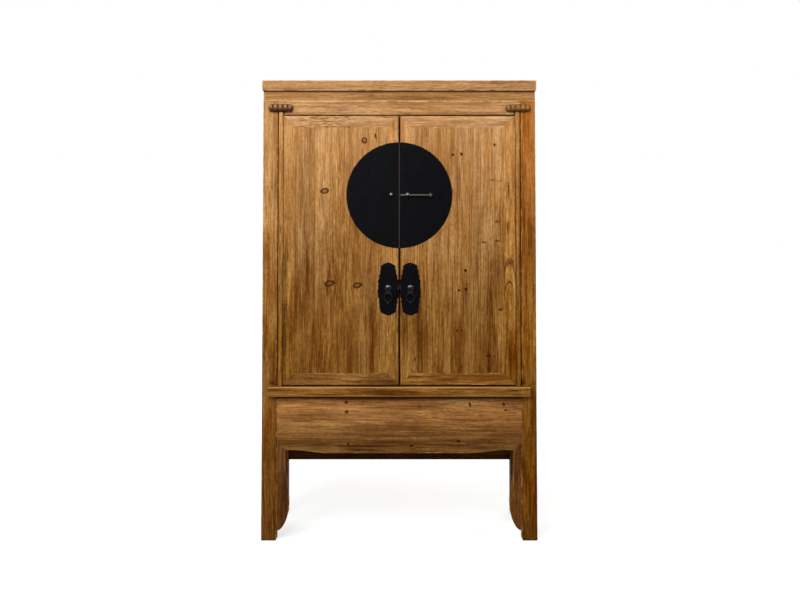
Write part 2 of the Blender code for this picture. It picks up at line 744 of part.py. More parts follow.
def notched(panel, gap):
    """Cuts a panel's corners away round the four posts."""
    z = (0, HEIGHT)
    for x in (POST_X, (-HALF, -OPENING)):
        for y in (FRONT_POST_Y, BACK_POST_Y):
            outer_x = grown(x, gap)
            cut(panel, box("corner", outer_x, grown(y, gap), z))
    return panel


def boards_inside():
    bottom = notched(box("bottom_panel", *BOTTOM_BOX), FIT)
    floor = notched(box("floor_panel", *FLOOR_BOX), LIFT_PLAY)
    shelf_x = grown(ACROSS, FIT - LIFT_PLAY)
    shelf_y = (LEAF_Y[1] + SHELF_FRONT_GAP, BACK_UPPER_BOX[1][0] - FIT)
    shelf = box("shelf", shelf_x, shelf_y, (SHELF_TOP - SHELF_THICK, SHELF_TOP))
    return [splayed(piece) for piece in (bottom, shelf, floor)]


def pivot_blocks():
    """Carved sockets for the doors' upper dowels: lobed in front, with a tail in the head rail."""
    sweep = (BLOCK_HALF, BLOCK_REACH)
    corners = arc((PIVOT_X, FRONT - BLOCK_EDGE), sweep, 180, 360, BLOCK_LOBES)
    lobes = scallops(corners[::-1], [BLOCK_LOBE_BULGE] * BLOCK_LOBES)
    back = FRONT + 2 * BLOCK_EDGE
    shape = [(corners[0][0], back), (corners[-1][0], back)] + lobes
    z = (BLOCK_BOTTOM, BLOCK_BOTTOM + BLOCK_HEIGHT)
    block = board("right_pivot_block", [shape], z, "plan", edge=BLOCK_EDGE)
    sliced(block, (PIVOT_X, FRONT - FIT, BLOCK_BOTTOM), (0, 1, 0))
    join(block, box("tang", *TANG_BOX))
    depth = DOWEL_LENGTH + PIVOT_PLAY
    centre = (PIVOT_X, PIVOT_Y, BLOCK_BOTTOM + depth / 2 - THROUGH / 2)
    cut(block, rod("socket", DOWEL_RADIUS + PIVOT_PLAY, centre, depth + THROUGH, (0, 0, 1)))
    return with_twins([block])


def right_door():
    """The right-hand door's mitred frame, flush panel and back battens."""
    low, high = LEAF_Z
    inner = (LEAF_X + LEAF_FRAME, STILE_X - LEAF_FRAME)
    opening = (low + LEAF_FRAME, high - LEAF_FRAME)
    gap = FIT * math.sqrt(2)

    hinge_shape = [(inner[1], opening[0]), (STILE_X, low), (PIVOT_X, low)]
    hinge_shape += [(PIVOT_X, high), (STILE_X, high), (inner[1], opening[1])]
    hinge = board("right_hinge_stile", [hinge_shape], LEAF_Y, "front")
    bead_top = BLOCK_BOTTOM - PIVOT_PLAY
    bead_bottom = SILL_TOP + FIT
    profile = [(0, bead_top + DOWEL_LENGTH), (DOWEL_RADIUS, bead_top + DOWEL_LENGTH)]
    profile += [(DOWEL_RADIUS, bead_top), (BEAD_RADIUS, bead_top)]
    profile += [(BEAD_RADIUS, bead_bottom), (DOWEL_RADIUS, bead_bottom)]
    profile += [(DOWEL_RADIUS, bead_bottom - DOWEL_LENGTH), (0, bead_bottom - DOWEL_LENGTH)]
    join(hinge, turned("pivot", profile, (PIVOT_X, PIVOT_Y, 0), (0, 0, 1)))

    meeting_shape = [(LEAF_X, low), (inner[0], opening[0]), (inner[0], opening[1]), (LEAF_X, high)]
    meeting = board("right_meeting_stile", [meeting_shape], LEAF_Y, "front")
    rails = []
    for name, outer_z, inner_z in (
        ("right_door_top_rail", high, opening[1]),
        ("right_door_bottom_rail", low, opening[0]),
    ):
        shape = [(LEAF_X + gap, outer_z), (STILE_X - gap, outer_z)]
        shape += [(inner[1] - gap, inner_z), (inner[0] + gap, inner_z)]
        rails.append(board(name, [shape], LEAF_Y, "front"))

    back = LEAF_Y[0] + DOOR_PANEL
    flush = (LEAF_Y[0], back - TONGUE / 2)
    panel = box("right_door_panel", grown(inner, -FIT), flush, grown(opening, -FIT))
    spread = GROOVE - FIT
    tongue = (grown(inner, spread), (back - TONGUE, back), grown(opening, spread))
    join(panel, box("tongue", *tongue))
    for member in (hinge, meeting, *rails):
        house(member, tongue)

    batten_y = (back + FIT, LEAF_Y[1])
    battens = []
    for name, z in (
        ("right_upper_batten", opening[1] - BATTEN_FROM_END),
        ("right_lower_batten", opening[0] + BATTEN_FROM_END),
    ):
        battens.append(box(name, grown(inner, -FIT), batten_y, middle((z, z), BATTEN_HEIGHT)))
    cut(splayed(meeting), eye_hole(), boss_hole())
    leaned = [splayed(piece) for piece in (hinge, *rails, panel, *battens)]
    return [meeting, *leaned]


def face_plate():
    """Half of the round plate, up to the joint between the doors."""
    edge = PLATE_GAP / 2
    angle = math.degrees(math.acos(edge / PLATE_RADIUS))
    shape = arc((0, PLATE_Z), PLATE_RADIUS, -angle, angle, 2 * ROUND_STEPS)
    plate = board("right_face_plate", [shape], SHEET_Y, "front")
    return cut(plate, eye_hole())


def eye_hole():
    y = (SHEET_Y[0] - THROUGH, LEAF_Y[0] + EYE_DEPTH + FIT)
    centre = (EYE_X, sum(y) / 2, PLATE_Z)
    return rod("hole", EYE_SHANK + FIT, centre, y[1] - y[0], (0, 1, 0))


def bolt_eye():
    """A ring for the lock pin on a shank that is driven through the plate into the stile."""
    eye = ring("right_bolt_eye", EYE_RING, EYE_WIRE, (EYE_X, EYE_Y, PLATE_Z))
    y = (EYE_Y + EYE_RING, LEAF_Y[0] + EYE_DEPTH)
    shank = rod("shank", EYE_SHANK, (EYE_X, sum(y) / 2, PLATE_Z), y[1] - y[0], (0, 1, 0))
    return join(eye, shank)


def pull_plate():
    """A cartouche plate: a peaked top and bottom and scalloped sides, with a lobe at the joint."""
    widest = PULL_SIDE.index(max(PULL_SIDE))
    above = PULL_SIDE[widest - 1]
    joint_bulges = list(PULL_BULGES)
    joint_bulges[widest - 1] = PULL_X - PLATE_GAP / 2 - (above[0] + PULL_SIDE[widest][0]) / 2
    shoulder = PULL_SIDE[0]
    foot = PULL_SIDE[-1]
    peak = [PULL_PEAK_BULGE] * 2
    right = scallops(PULL_SIDE, PULL_BULGES)
    left = [(-u, v) for u, v in reversed(scallops(PULL_SIDE, joint_bulges))]
    crown = scallops([(-shoulder[0], shoulder[1]), (0, PULL_PLATE_HALF), shoulder], peak)
    keel = scallops([foot, (0, -PULL_PLATE_HALF), (-foot[0], foot[1])], peak)
    shape = right[:-1] + keel[:-1] + left[:-1] + crown[:-1]
    shape = [(PULL_X + u, PULL_PLATE_Z + v) for u, v in shape]
    plate = board("right_pull_plate", [shape], SHEET_Y, "front")
    return cut(plate, boss_hole())


def boss_hole():
    y = (SHEET_Y[0] - THROUGH, LEAF_Y[0] + BOSS_SHANK + FIT)
    centre = (PULL_X, sum(y) / 2, PULL_Z)
    return rod("hole", EYE_SHANK + FIT, centre, y[1] - y[0], (0, 1, 0))


def pull_boss():
    """A domed rosette with a wire loop in front for the drop, and a shank behind."""
    foot = SHEET_Y[0] - FIT
    dome = arc((0, 0), (BOSS_RADIUS, BOSS_HEIGHT - FIT), 90, 0)
    boss = turned("right_pull_boss", dome + [(0, 0)], (PULL_X, foot, PULL_Z), (0, -1, 0))
    y = (foot - BOSS_HEIGHT / 2, LEAF_Y[0] + BOSS_SHANK)
    centre = (PULL_X, sum(y) / 2, PULL_Z)
    join(boss, rod("shank", EYE_SHANK, centre, y[1] - y[0], (0, 1, 0)))
    return join(boss, ring("loop", LOOP_RING, LOOP_WIRE, (PULL_X, PULL_Y, PULL_Z)))


def pull_drop():
    """A pear-shaped drop: a bridge that turns in the loop, a finger hole and a pointed tip."""
    bridge = DROP_BRIDGE / 2
    eye_foot = LOOP_RING + LOOP_WIRE + LOOP_PLAY
    flank = [DROP_FLARE, DROP_BELLY, DROP_TAPER, DROP_POINT]
    side = [(0, bridge), (DROP_SHOULDER, 0), (DROP_NECK, -eye_foot)]
    side += [(half, -below) for half, below in flank] + [(0, -DROP_LENGTH)]
    outer = side + [(-u, v) for u, v in reversed(side[1:-1])]
    eye_size = (DROP_EYE_HALF, (eye_foot - bridge) / 2)
    eye = arc((0, -(eye_foot + bridge) / 2), eye_size, 0, 360, HOLE_POINTS)[:-1]
    hole_size = (DROP_HOLE_HALF, DROP_HOLE_HEIGHT / 2)
    hole = arc((0, -DROP_BELLY[1]), hole_size, 0, 360, HOLE_POINTS)[:-1]
    outlines = [[(PULL_X + u, PULL_Z + v) for u, v in points] for points in (outer, eye, hole)]
    y = middle((PULL_Y, PULL_Y), DROP_THICK)
    return board("right_pull_drop", outlines, y, "front", edge=DROP_EDGE, smooth=True)


def lock_pin():
    """The sliding pin, drawn back to the right: a rounded nose, a shaft, a collar and a knob."""
    knob = arc((0, PIN_LENGTH - KNOB_RADIUS), KNOB_RADIUS, 90, -60, 2 * ARC_STEPS)
    shoulder = knob[-1][1] - PIN_COLLAR_LENGTH
    shaft = [(PIN_COLLAR, knob[-1][1]), (PIN_COLLAR, shoulder), (PIN_RADIUS, shoulder)]
    nose = arc((0, PIN_RADIUS), PIN_RADIUS, 0, -90)
    return turned("lock_pin", knob + shaft + nose, (PIN_START, EYE_Y, PLATE_Z), (1, 0, 0))


def hang(pieces, name, place, turn=0):
    """Parents pieces to an empty on their joint's axis, without moving them."""
    pivot = bpy.data.objects.new(name, None)
    pivot.location = place
    pivot.rotation_euler.y = turn
    PARTS.objects.link(pivot)
    bpy.context.view_layer.update()
    for piece in pieces:
        piece.parent = pivot
        piece.matrix_parent_inverse = pivot.matrix_world.inverted()
    return pivot


def painted(pieces, material):
    for piece in pieces:
        piece.data.materials.clear()
        piece.data.materials.append(material)
        piece.data.shade_smooth()
        piece.data.set_sharp_from_angle(angle=SMOOTH_ANGLE)
    return pieces


def main():
    pine = finish("honey_pine", (0.42, 0.21, 0.075), 0.55, 0)
    leg_pine = finish("dark_pine", (0.13, 0.052, 0.011), 0.6, 0)
    carved = finish("carved_pine", (0.26, 0.13, 0.055), 0.7, 0)
    iron = finish("black_iron", (0.008, 0.008, 0.011), 0.38, 0.6)
    worn_iron = finish("worn_iron", (0.03, 0.03, 0.033), 0.32, 0.9)

    painted(posts() + spandrels(), leg_pine)
    painted(top() + cross_rails() + [make_sill()] + aprons() + sides() + boards_inside(), pine)
    painted(pivot_blocks(), carved)

    wood = painted(right_door(), pine)
    plates = painted([face_plate(), pull_plate()], iron)
    fittings = painted([bolt_eye(), pull_boss()], worn_iron)
    drop = painted([pull_drop()], worn_iron)
    pin = painted([lock_pin()], worn_iron)
    right = wood + plates + fittings
    left = [twin(piece) for piece in right]
    left_drop = [twin(piece) for piece in drop]

    tilt = -math.atan(PIVOT_X * SPLAY / HALF / TOP_UNDER)
    hinge_x = PIVOT_X * lean(SILL_TOP)
    right_pivot = hang(right, "right_door_pivot", (hinge_x, PIVOT_Y, SILL_TOP), tilt)
    left_pivot = hang(left, "left_door_pivot", (-hinge_x, PIVOT_Y, SILL_TOP), -tilt)
    right_pull = hang(drop, "right_pull_pivot", (PULL_X, PULL_Y, PULL_Z))
    left_pull = hang(left_drop, "left_pull_pivot", (-PULL_X, PULL_Y, PULL_Z))
    slide = hang(pin, "lock_pin_slide", (PIN_START, EYE_Y, PLATE_Z))
    for child, parent in ((right_pull, right_pivot), (slide, right_pivot), (left_pull, left_pivot)):
        child.parent = parent
        child.matrix_parent_inverse = parent.matrix_world.inverted()
    bpy.data.collections.remove(CUTTERS)


main()
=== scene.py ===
"""Looks of a tapered pine wardrobe with black iron fittings, laid out as an add-on and run as a script."""

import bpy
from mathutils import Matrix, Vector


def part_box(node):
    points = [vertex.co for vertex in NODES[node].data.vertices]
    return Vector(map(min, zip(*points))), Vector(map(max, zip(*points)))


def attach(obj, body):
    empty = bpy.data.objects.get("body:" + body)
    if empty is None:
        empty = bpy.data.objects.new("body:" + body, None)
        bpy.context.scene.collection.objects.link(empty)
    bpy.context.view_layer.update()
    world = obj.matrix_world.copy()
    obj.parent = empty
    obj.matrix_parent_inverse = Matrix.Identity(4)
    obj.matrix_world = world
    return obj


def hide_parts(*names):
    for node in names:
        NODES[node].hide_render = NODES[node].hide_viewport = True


bl_info = {
    "name": "Tapered Pine Wardrobe",
    "version": (1, 0, 0),
    "blender": (4, 5, 0),
    "location": "3D View > Sidebar > Wardrobe",
    "description": "Finishes a pine wardrobe with black iron fittings and stands it in a pale studio",
    "category": "Object",
}

import math

import bmesh
import bpy
from bpy.props import FloatProperty, FloatVectorProperty, PointerProperty
from mathutils import Matrix, Vector

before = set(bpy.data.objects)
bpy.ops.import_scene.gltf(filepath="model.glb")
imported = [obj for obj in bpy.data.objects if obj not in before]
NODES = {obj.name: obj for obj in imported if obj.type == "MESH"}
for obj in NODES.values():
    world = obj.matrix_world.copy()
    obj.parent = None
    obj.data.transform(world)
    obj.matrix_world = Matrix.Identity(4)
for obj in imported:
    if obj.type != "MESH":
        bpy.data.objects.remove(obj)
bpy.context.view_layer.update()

X, Y, Z = range(3)
SIDES = ("left", "right")
SIGNS = {"left": -1, "right": 1}
WHITE = (1, 1, 1)

# The case is wider at the floor than under its top, by this much on each side
SPLAY = 0.010
HALF_WIDTH = 0.531
TAPER_TOP = 1.760

# What turns a board's grain to Z
UPRIGHT = (0, 0, 0)
ACROSS = (0, math.pi / 2, 0)
DEEP = (math.pi / 2, 0, 0)

# Which way a knot pushes the grain aside on a front board, and a size that takes in all of its thickness
SIDEWAYS = {UPRIGHT: (1, 0, 0), ACROSS: (0, 0, 1)}
ANY_DEPTH = 1000


def both(*names):
    """The left and the right one of each name, which has a gap for the side."""
    return tuple(name.format(side) for name in names for side in SIDES)


# Wooden nodes that share a finish
LEFT_POSTS = ("front_left_post", "back_left_post")
RIGHT_POSTS = ("front_right_post", "back_right_post", "right_spandrel")
FRONT_BOARDS = ("top_front_rail", "frieze_rail", "sill")
BACK_BOARDS = ("top_back_rail", "back_head_rail", "back_mid_rail", "back_stretcher")
FLAT_BOARDS = ("top_panel", "bottom_panel", "shelf", "floor_panel")
DEEP_BOARDS = both("top_{}_rail", "{}_head_rail", "{}_mid_rail", "{}_apron", "{}_shelf_bearer")
SIDE_PANELS = both("{}_side_panel")
BACK_PANELS = ("back_upper_panel", "back_lower_panel")
DOOR_STILES = ("hinge_stile", "meeting_stile")
DOOR_RAILS = ("door_top_rail", "door_bottom_rail", "upper_batten", "lower_batten")

# The round pivot post on each hinge stile: its width, its dowel and the play round the dowel
BEAD_RADIUS = 0.010
DOWEL_RADIUS = 0.006
DOWEL_LENGTH = 0.018
DOWEL_PLAY = 0.0006

# Dirt along the joints of a board, with painted shade on the frieze's top under the top board and the sill's
# painted shadow on the apron's top: how far it reaches from each of its lower and each of its upper sides
NO_DIRT = (0, 0, 0)
JOINT_DIRT_AND_SHADE = {
    # Dark joint and painted shade along the frieze's top, under the top board
    "frieze_rail": (NO_DIRT, (0, 0, 0.009)),
    # Dark joints at the apron's ends, and the sill's shadow painted along the apron's top
    "front_apron": ((0.003, 0, 0), (0.003, 0, 0.024)),
    "left_door_panel": ((0.0026, 0, 0.0020), (0.0016, 0, 0.0024)),
    "right_door_panel": ((0.0016, 0, 0.0020), (0.0026, 0, 0.0024)),
    "top_panel": ((0.003, 0.003, 0), (0.003, 0.003, 0)),
    "left_door_top_rail": (NO_DIRT, (0, 0, 0.0012)),
    "right_door_top_rail": (NO_DIRT, (0, 0, 0.0030)),
    "left_meeting_stile": (NO_DIRT, (0.0032, 0, 0)),
    "right_meeting_stile": ((0.0032, 0, 0), NO_DIRT),
    **dict.fromkeys(SIDE_PANELS, ((0, 0.005, 0.005), (0, 0.005, 0.005))),
    **dict.fromkeys(BACK_PANELS, ((0.005, 0, 0.005), (0.005, 0, 0.005))),
}

# Painted shade in the creases beside the doors' pivot posts, on the stiles and on the case's posts: how far
# it reaches and how dark it is, and at what share of that reach it is full
BEAD_SHADE = (0.0026, 0.5)
POST_SHADE = (0.0035, 0.35)
CREASE_CORE = 0.3

# How light the stiles' flats and the right pivot post are beside the left pivot post
STILE_TONES = (0.92, 0.84)

# Where the boards of a panel meet, and how light each next board is; the first board is as light as its piece
PANEL_JOINTS = {
    "left": ((-0.330, 1.20), (-0.214, 1.17), (-0.090, 1.14)),
    "right": ((0.105, 1.0), (0.226, 0.98), (0.316, 1.05)),
}
BACK_JOINTS = ((-0.340, 0.92), (-0.185, 1.08), (-0.020, 0.95), (0.150, 1.10), (0.310, 0.97))
DEPTH_JOINTS = ((-0.105, 1.08), (0.030, 0.93), (0.150, 1.04))
SPANDREL_JOINT = ((0.267, 1.16),)

# The dark line where two boards of a panel meet: how far off it ends and is full, and its darkness
JOINT_LINE = (0.0016, 0.0004)
JOINT_DARKNESS = 0.6

# The chips in the left door's top rail: between which places across they are and over what length they fade
# in, how closely they follow each other along each axis, which part of the noise they are, how deep they are,
# and how thick and how dark the painted shadow under their upper lips is
CHIPPED = (-0.415, -0.165)
CHIP_FADE = 0.03
CHIP_GRAIN = (32, 85, 130)
CHIP_PART = (0.49, 0.62)
CHIP_DEPTH = 0.0035
CHIP_SHADOW_REACH = (0, 0, 0.0018)
CHIP_SHADOW_DARKNESS = 0.55

# How finely that rail is remeshed for its chips, as steps of halving, and how much of the grid it fills
RAIL_FINENESS = 8
RAIL_FILL = 0.9

# How light a board is beside the others, and how strong its colour is
BOARD_TONES = {
    "top_front_rail": (0.96, 0.98),
    "frieze_rail": (0.82, 1.0),
    "front_head_rail": (1.06, 0.96),
    "front_left_post": (1.21, 1.0),
    "front_right_post": (1.22, 1.03),
    "left_hinge_stile": (1.195, 1.02),
    "right_hinge_stile": (1.54, 1.02),
    "left_meeting_stile": (1.326, 1.0),
    "right_meeting_stile": (1.37, 1.0),
    "left_door_top_rail": (1.21, 0.94),
    "right_door_top_rail": (1.23, 0.93),
    "left_door_panel": (0.92, 1.0),
    "left_door_bottom_rail": (1.10, 0.98),
    "right_door_bottom_rail": (1.22, 1.0),
    "front_apron": (1.85, 0.94),
    "sill": (1.15, 1.0),
    # The back stretcher's darker tone is painted shade under the case
    "back_stretcher": (0.45, 1.0),
    "left_spandrel": (0.74, 0.97),
    "right_spandrel": (1.10, 0.97),
}

# How much the other boards' tones differ, the turn that takes one board's tone to the next, and how far the
# pattern moves on between them along each axis
TONE_RANGE = 0.05
TONE_TURN = 2.4
PATTERN_STEP = (0.37, 0.53, 0.91)

# Heights between which a tint grows: the posts', the apron's, and the darkening towards the floor and near
# the feet, which is partly patina and partly painted shade; and those between which the pattern grows calmer,
# and how calm it is above them and on the apron
LEFT_TINT = (1.25, 1.60)
RIGHT_TINT = (0.35, 1.50)
APRON_TINT = (0.52, 0.36)
LOW_PATINA_AND_SHADE = (1.72, 0.75)
FOOT_PATINA_AND_SHADE = (0.60, 0.34)
CALM_HEIGHTS = (1.10, 1.55)
UPPER_CALM = 0.32
APRON_CALM = 0.12

# How much a board's edges are rubbed, for the doors' boards and for some others, where 1 is usual
DOOR_WEAR = 0.0
EDGE_WEAR = {
    "sill": 2.6,
    "frieze_rail": 1.6,
    "top_front_rail": 1.3,
    "front_apron": 0.4,
    "front_left_post": 0.2,
    "front_right_post": 0.2,
}

# A board that is rubbed along its length but not at its ends
LONG_EDGES = ("sill",)
END_REACH = 0.02

# The angle from which an edge counts as sharp, on the CAD nodes and on the pieces made here, the segments of
# a rounded edge, and how near to each other corners are joined
NODE_EDGE = math.radians(32)
PIECE_EDGE = math.radians(35)
EDGE_SEGMENTS = 3
JOINED = 0.00001

# How much the dry wood and the old lacquer mirror
DULL = 0.03

# The carved pivot blocks: beads, points along a bead, squareness of the ends, steps round, distance of the
# axis from the case's front, and the tail's width and height as shares of the block's
BLOCK_BEADS = 5
BEAD_STEPS = 14
BLOCK_END = 8
BLOCK_TURNS = 24
BLOCK_STAND = 0.010
BLOCK_TAIL = (0.3, 1, 0.7)

# Each block's finish: material, tint, gloss, darkness of the dirt and painted shade in the grooves and under
# the block, and depth of the wear
BLOCK_FINISHES = {
    "left": ("pine_dark_carved", "dark_carving", 0.22, 0.85, 0.0006),
    "right": ("pine_worn_carved", "worn_carving", 0.15, 0.8, 0.0085),
}

# Over what distance from the case's front the blocks' wear fades in, how fine it is and what it leaves alone
WEAR_FADE = 0.004
WEAR_SCALE = 110.0
WEAR_START = 0.65

# The bolt eyes: radius of the shank, points along the swell and steps round
EYE_SHANK = 0.0026
EYE_STEPS = 8
EYE_TURNS = 28

# How far down from their tops the eyes and the bosses carry a painted highlight
EYE_HIGHLIGHT_REACH = 0.010
BOSS_HIGHLIGHT_REACH = 0.010

# The nail heads: how far they are from the plates' edges, at what angles round the face plate, and where a
# ball of one unit is cut off to make a head
FACE_NAIL_INSET = 0.017
FACE_NAIL_ANGLES = (84, 1, -84)
PULL_NAIL_INSET = 0.011
NAIL_CUT = -0.2

# The pull plates' scallops: how far apart and how deep they are, and from where to where across they fade in
SCALLOP = 0.020
SCALLOP_DEPTH = 0.0030
SCALLOP_FADE = (0.012, 0.026)

# The studio: each lamp's place, aim and size, the lens's shift sideways, the floor's colour, and between
# which distances from the middle the floor's glow grows
LAMPS = {
    "key": ((-0.8, -2.7, 2.3), (0, 0, 1.35), 1.7),
    "fill": ((3.2, -2.6, 1.9), (0, 0, 1.0), 2.0),
    "back": ((1.6, 3.6, 2.8), (0, 0, 1.0), 2.4),
}
LENS_SHIFT = 0.0009
FLOOR_COLOUR = (0.55, 0.55, 0.54)
GLOW_REACH = (0.7, 3.0)

# How far the knots lean over
KNOT_TILT = math.radians(12)

# Knots of the boards in front: place across, height, half-width, half-height, and 1 for a small one, which is
# dark all over, or 0 for one with a lighter heart
LEFT_PANEL_KNOTS = [
    (-0.136, 1.567, 0.011, 0.012, 0),
    (-0.291, 1.369, 0.017, 0.011, 0),
    (-0.271, 1.007, 0.020, 0.011, 0),
    (-0.163, 1.000, 0.017, 0.011, 0),
    (-0.092, 1.583, 0.005, 0.016, 1),
]
RIGHT_PANEL_KNOTS = [
    (0.209, 1.510, 0.008, 0.007, 1),
    (0.243, 1.513, 0.008, 0.009, 1),
    (0.372, 1.549, 0.006, 0.007, 1),
    (0.257, 1.058, 0.008, 0.009, 1),
    (0.232, 0.980, 0.007, 0.007, 1),
    (0.259, 0.985, 0.009, 0.008, 1),
    (0.224, 0.822, 0.006, 0.005, 1),
    (0.242, 0.822, 0.006, 0.005, 1),
    (0.346, 0.724, 0.011, 0.008, 1),
    (0.365, 0.721, 0.005, 0.005, 1),
    (0.241, 0.682, 0.005, 0.005, 1),
]
APRON_KNOTS = [
    (-0.205, 0.541, 0.008, 0.009, 1),
    (-0.203, 0.504, 0.010, 0.008, 1),
    (-0.197, 0.377, 0.006, 0.011, 1),
    (0.273, 0.533, 0.006, 0.014, 1),
    (0.404, 0.534, 0.007, 0.011, 1),
    (0.412, 0.512, 0.008, 0.006, 1),
    (0.228, 0.389, 0.012, 0.007, 1),
    (0.046, 0.371, 0.011, 0.006, 1),
]

# Scuffs and stains of the boards in front: place across, height, half-width, half-height and darkness
RIGHT_PANEL_SCUFFS = [
    (0.328, 1.168, 0.015, 0.0060, 0.8),
    (0.382, 1.173, 0.018, 0.0050, 0.8),
    (0.379, 1.250, 0.013, 0.0060, 0.8),
    (0.362, 1.412, 0.016, 0.0050, 0.7),
    (0.394, 1.409, 0.010, 0.0045, 0.7),
    (0.394, 0.905, 0.014, 0.0080, 0.9),
]
APRON_STAINS = [
    (-0.310, 0.374, 0.060, 0.018, 0.40),
    (-0.420, 0.372, 0.020, 0.014, 0.25),
    (0.330, 0.382, 0.140, 0.005, 0.55),
    (0.078, 0.521, 0.006, 0.012, 0.60),
    (-0.150, 0.3705, 0.170, 0.0045, 0.85),
    (-0.165, 0.3550, 0.075, 0.0050, 0.80),
    (0.220, 0.372, 0.110, 0.0070, 0.60),
    (0.310, 0.365, 0.100, 0.0060, 0.55),
    (0.060, 0.432, 0.120, 0.0024, 0.50),
    (-0.330, 0.446, 0.090, 0.0024, 0.45),
    (0.250, 0.470, 0.120, 0.0022, 0.45),
    (-0.100, 0.520, 0.090, 0.0022, 0.40),
    (0.420, 0.470, 0.014, 0.0120, 0.35),
]
HEAD_RAIL_STAINS = [(-0.224, 1.692, 0.045, 0.018, 0.32)]
STILE_STAINS = [
    # Painted shade in the recess beside the left pivot post
    (-0.446, 0.780, 0.014, 0.260, 0.75),
    (0.426, 1.377, 0.005, 0.050, 0.90),
    (0.421, 1.228, 0.005, 0.028, 0.90),
    # Painted shade in the crease beside the right pivot post
    (0.4535, 1.150, 0.0026, 0.700, 0.80),
    # More painted shade in the recess beside the left pivot post, higher up
    (-0.446, 1.060, 0.014, 0.110, 0.50),
    (-0.435, 1.655, 0.030, 0.050, 0.22),
    (0.435, 1.655, 0.030, 0.050, 0.20),
    (-0.020, 1.640, 0.022, 0.060, 0.28),
]
DOOR_RAIL_STAINS = [(0.050, 0.641, 0.050, 0.012, 0.50), (-0.425, 0.640, 0.030, 0.012, 0.45)]
POST_STAINS = [
    (-0.492, 0.617, 0.020, 0.014, 0.80),
    (0.478, 0.620, 0.016, 0.016, 0.80),
    (0.500, 0.500, 0.050, 0.260, 0.28),
    (-0.500, 1.350, 0.050, 0.110, 0.20),
    (-0.500, 0.120, 0.050, 0.200, 0.20),
    (0.500, 0.020, 0.060, 0.090, 0.32),
]

# Loops in the grain of the right hinge stile: place across, height, half-width, half-height and darkness
STILE_LOOPS = [(0.427, 0.954, 0.018, 0.059, 0.85), (0.427, 0.954, 0.030, 0.140, 0.75)]


def linear(*levels):
    """A colour's linear values from its 8-bit display levels."""
    return [((level / 255 + 0.055) / 1.055) ** 2.4 if level > 10 else level / 3294 for level in levels]


def colour(name, description, *levels):
    """A colour property with a default given in display levels."""
    return FloatVectorProperty(
        name=name, description=description, subtype="COLOR", size=3, min=0, max=1, default=linear(*levels)
    )


def length(name, description, default):
    """A length property in metres."""
    return FloatProperty(
        name=name, description=description, unit="LENGTH", min=0, default=default, precision=4
    )


def number(name, description, default, subtype="NONE"):
    """A property for any other number."""
    return FloatProperty(name=name, description=description, subtype=subtype, default=default)


class WardrobeWood(bpy.types.PropertyGroup):
    """Sizes and colours of the pine"""

    pale: colour("Pale wood", "Lightest streaks of the boards", 219, 178, 128)
    honey: colour("Honey", "Main colour of the boards", 199, 151, 94)
    amber: colour("Amber", "Darker bands of the boards", 172, 119, 63)
    brown: colour("Brown streak", "Darkest streaks of the boards", 127, 84, 36)
    straw: colour("Straw", "Greyer zones of the boards", 197, 157, 112)
    smudge: colour("Smudge", "What soft dark patches are multiplied by", 212, 196, 168)
    speck: colour("Speck", "What small ragged specks are multiplied by", 224, 216, 200)
    dash: colour("Dash", "Short dark pores along the grain", 86, 50, 14)
    knot: colour("Knot", "Rims of the knots", 54, 22, 3)
    heart: colour("Heart", "Hearts of the knots", 132, 76, 32)
    arris: colour("Bare arris", "Wood rubbed bare along the edges", 222, 178, 124)
    # Colour of the dirt in the joints, also used for painted shade in creases and grooves, under the sill,
    # under the top board and under the chips' lips
    dirt: colour("Dirt", "Dirt in the joints", 60, 26, 5)
    weather: colour("Weather", "What weathered patches are multiplied by", 212, 204, 190)
    even: colour("Even wood", "What the upper boards' pattern is drawn towards", 165, 118, 70)
    # The next two darken the wood towards the floor, partly as patina and partly as painted shade
    low_tint: colour("Lower patina", "What the wood is multiplied by below the doors' middle", 195, 184, 143)
    foot_tint: colour("Foot patina", "What the wood is multiplied by near the floor", 226, 212, 196)
    left_post_tint: colour("Left posts", "What the upper left posts are multiplied by", 228, 226, 222)
    right_post_tint: colour("Right posts", "What the upper right posts are multiplied by", 238, 211, 168)
    apron_tint: colour("Apron's edge", "What the apron is multiplied by at its lower edge", 204, 212, 196)
    dark_carving: colour("Dark carving", "What the left pivot block is multiplied by", 148, 120, 84)
    worn_carving: colour("Worn carving", "What the right pivot block is multiplied by", 226, 220, 200)
    streak_width: length("Streak width", "Width of the streaks across the grain", 0.0050)
    streak_length: length("Streak length", "Length of the streaks along the grain", 0.160)
    ring_gap: length("Ring gap", "Distance between the growth rings", 0.014)
    arris_radius: length("Arris radius", "Rounding of the boards' edges", 0.0014)
    joint_radius: length("Joint radius", "Rounding of the doors' flush joints", 0.0007)
    arris_wear: length("Arris wear", "How far from an edge the wood is rubbed bare", 0.0042)
    bead_groove: number("Groove", "Depth of the blocks' grooves, of the radius", 0.2)
    block_overhang: length("Block overhang", "How far a block reaches past its socket, outwards", 0.003)


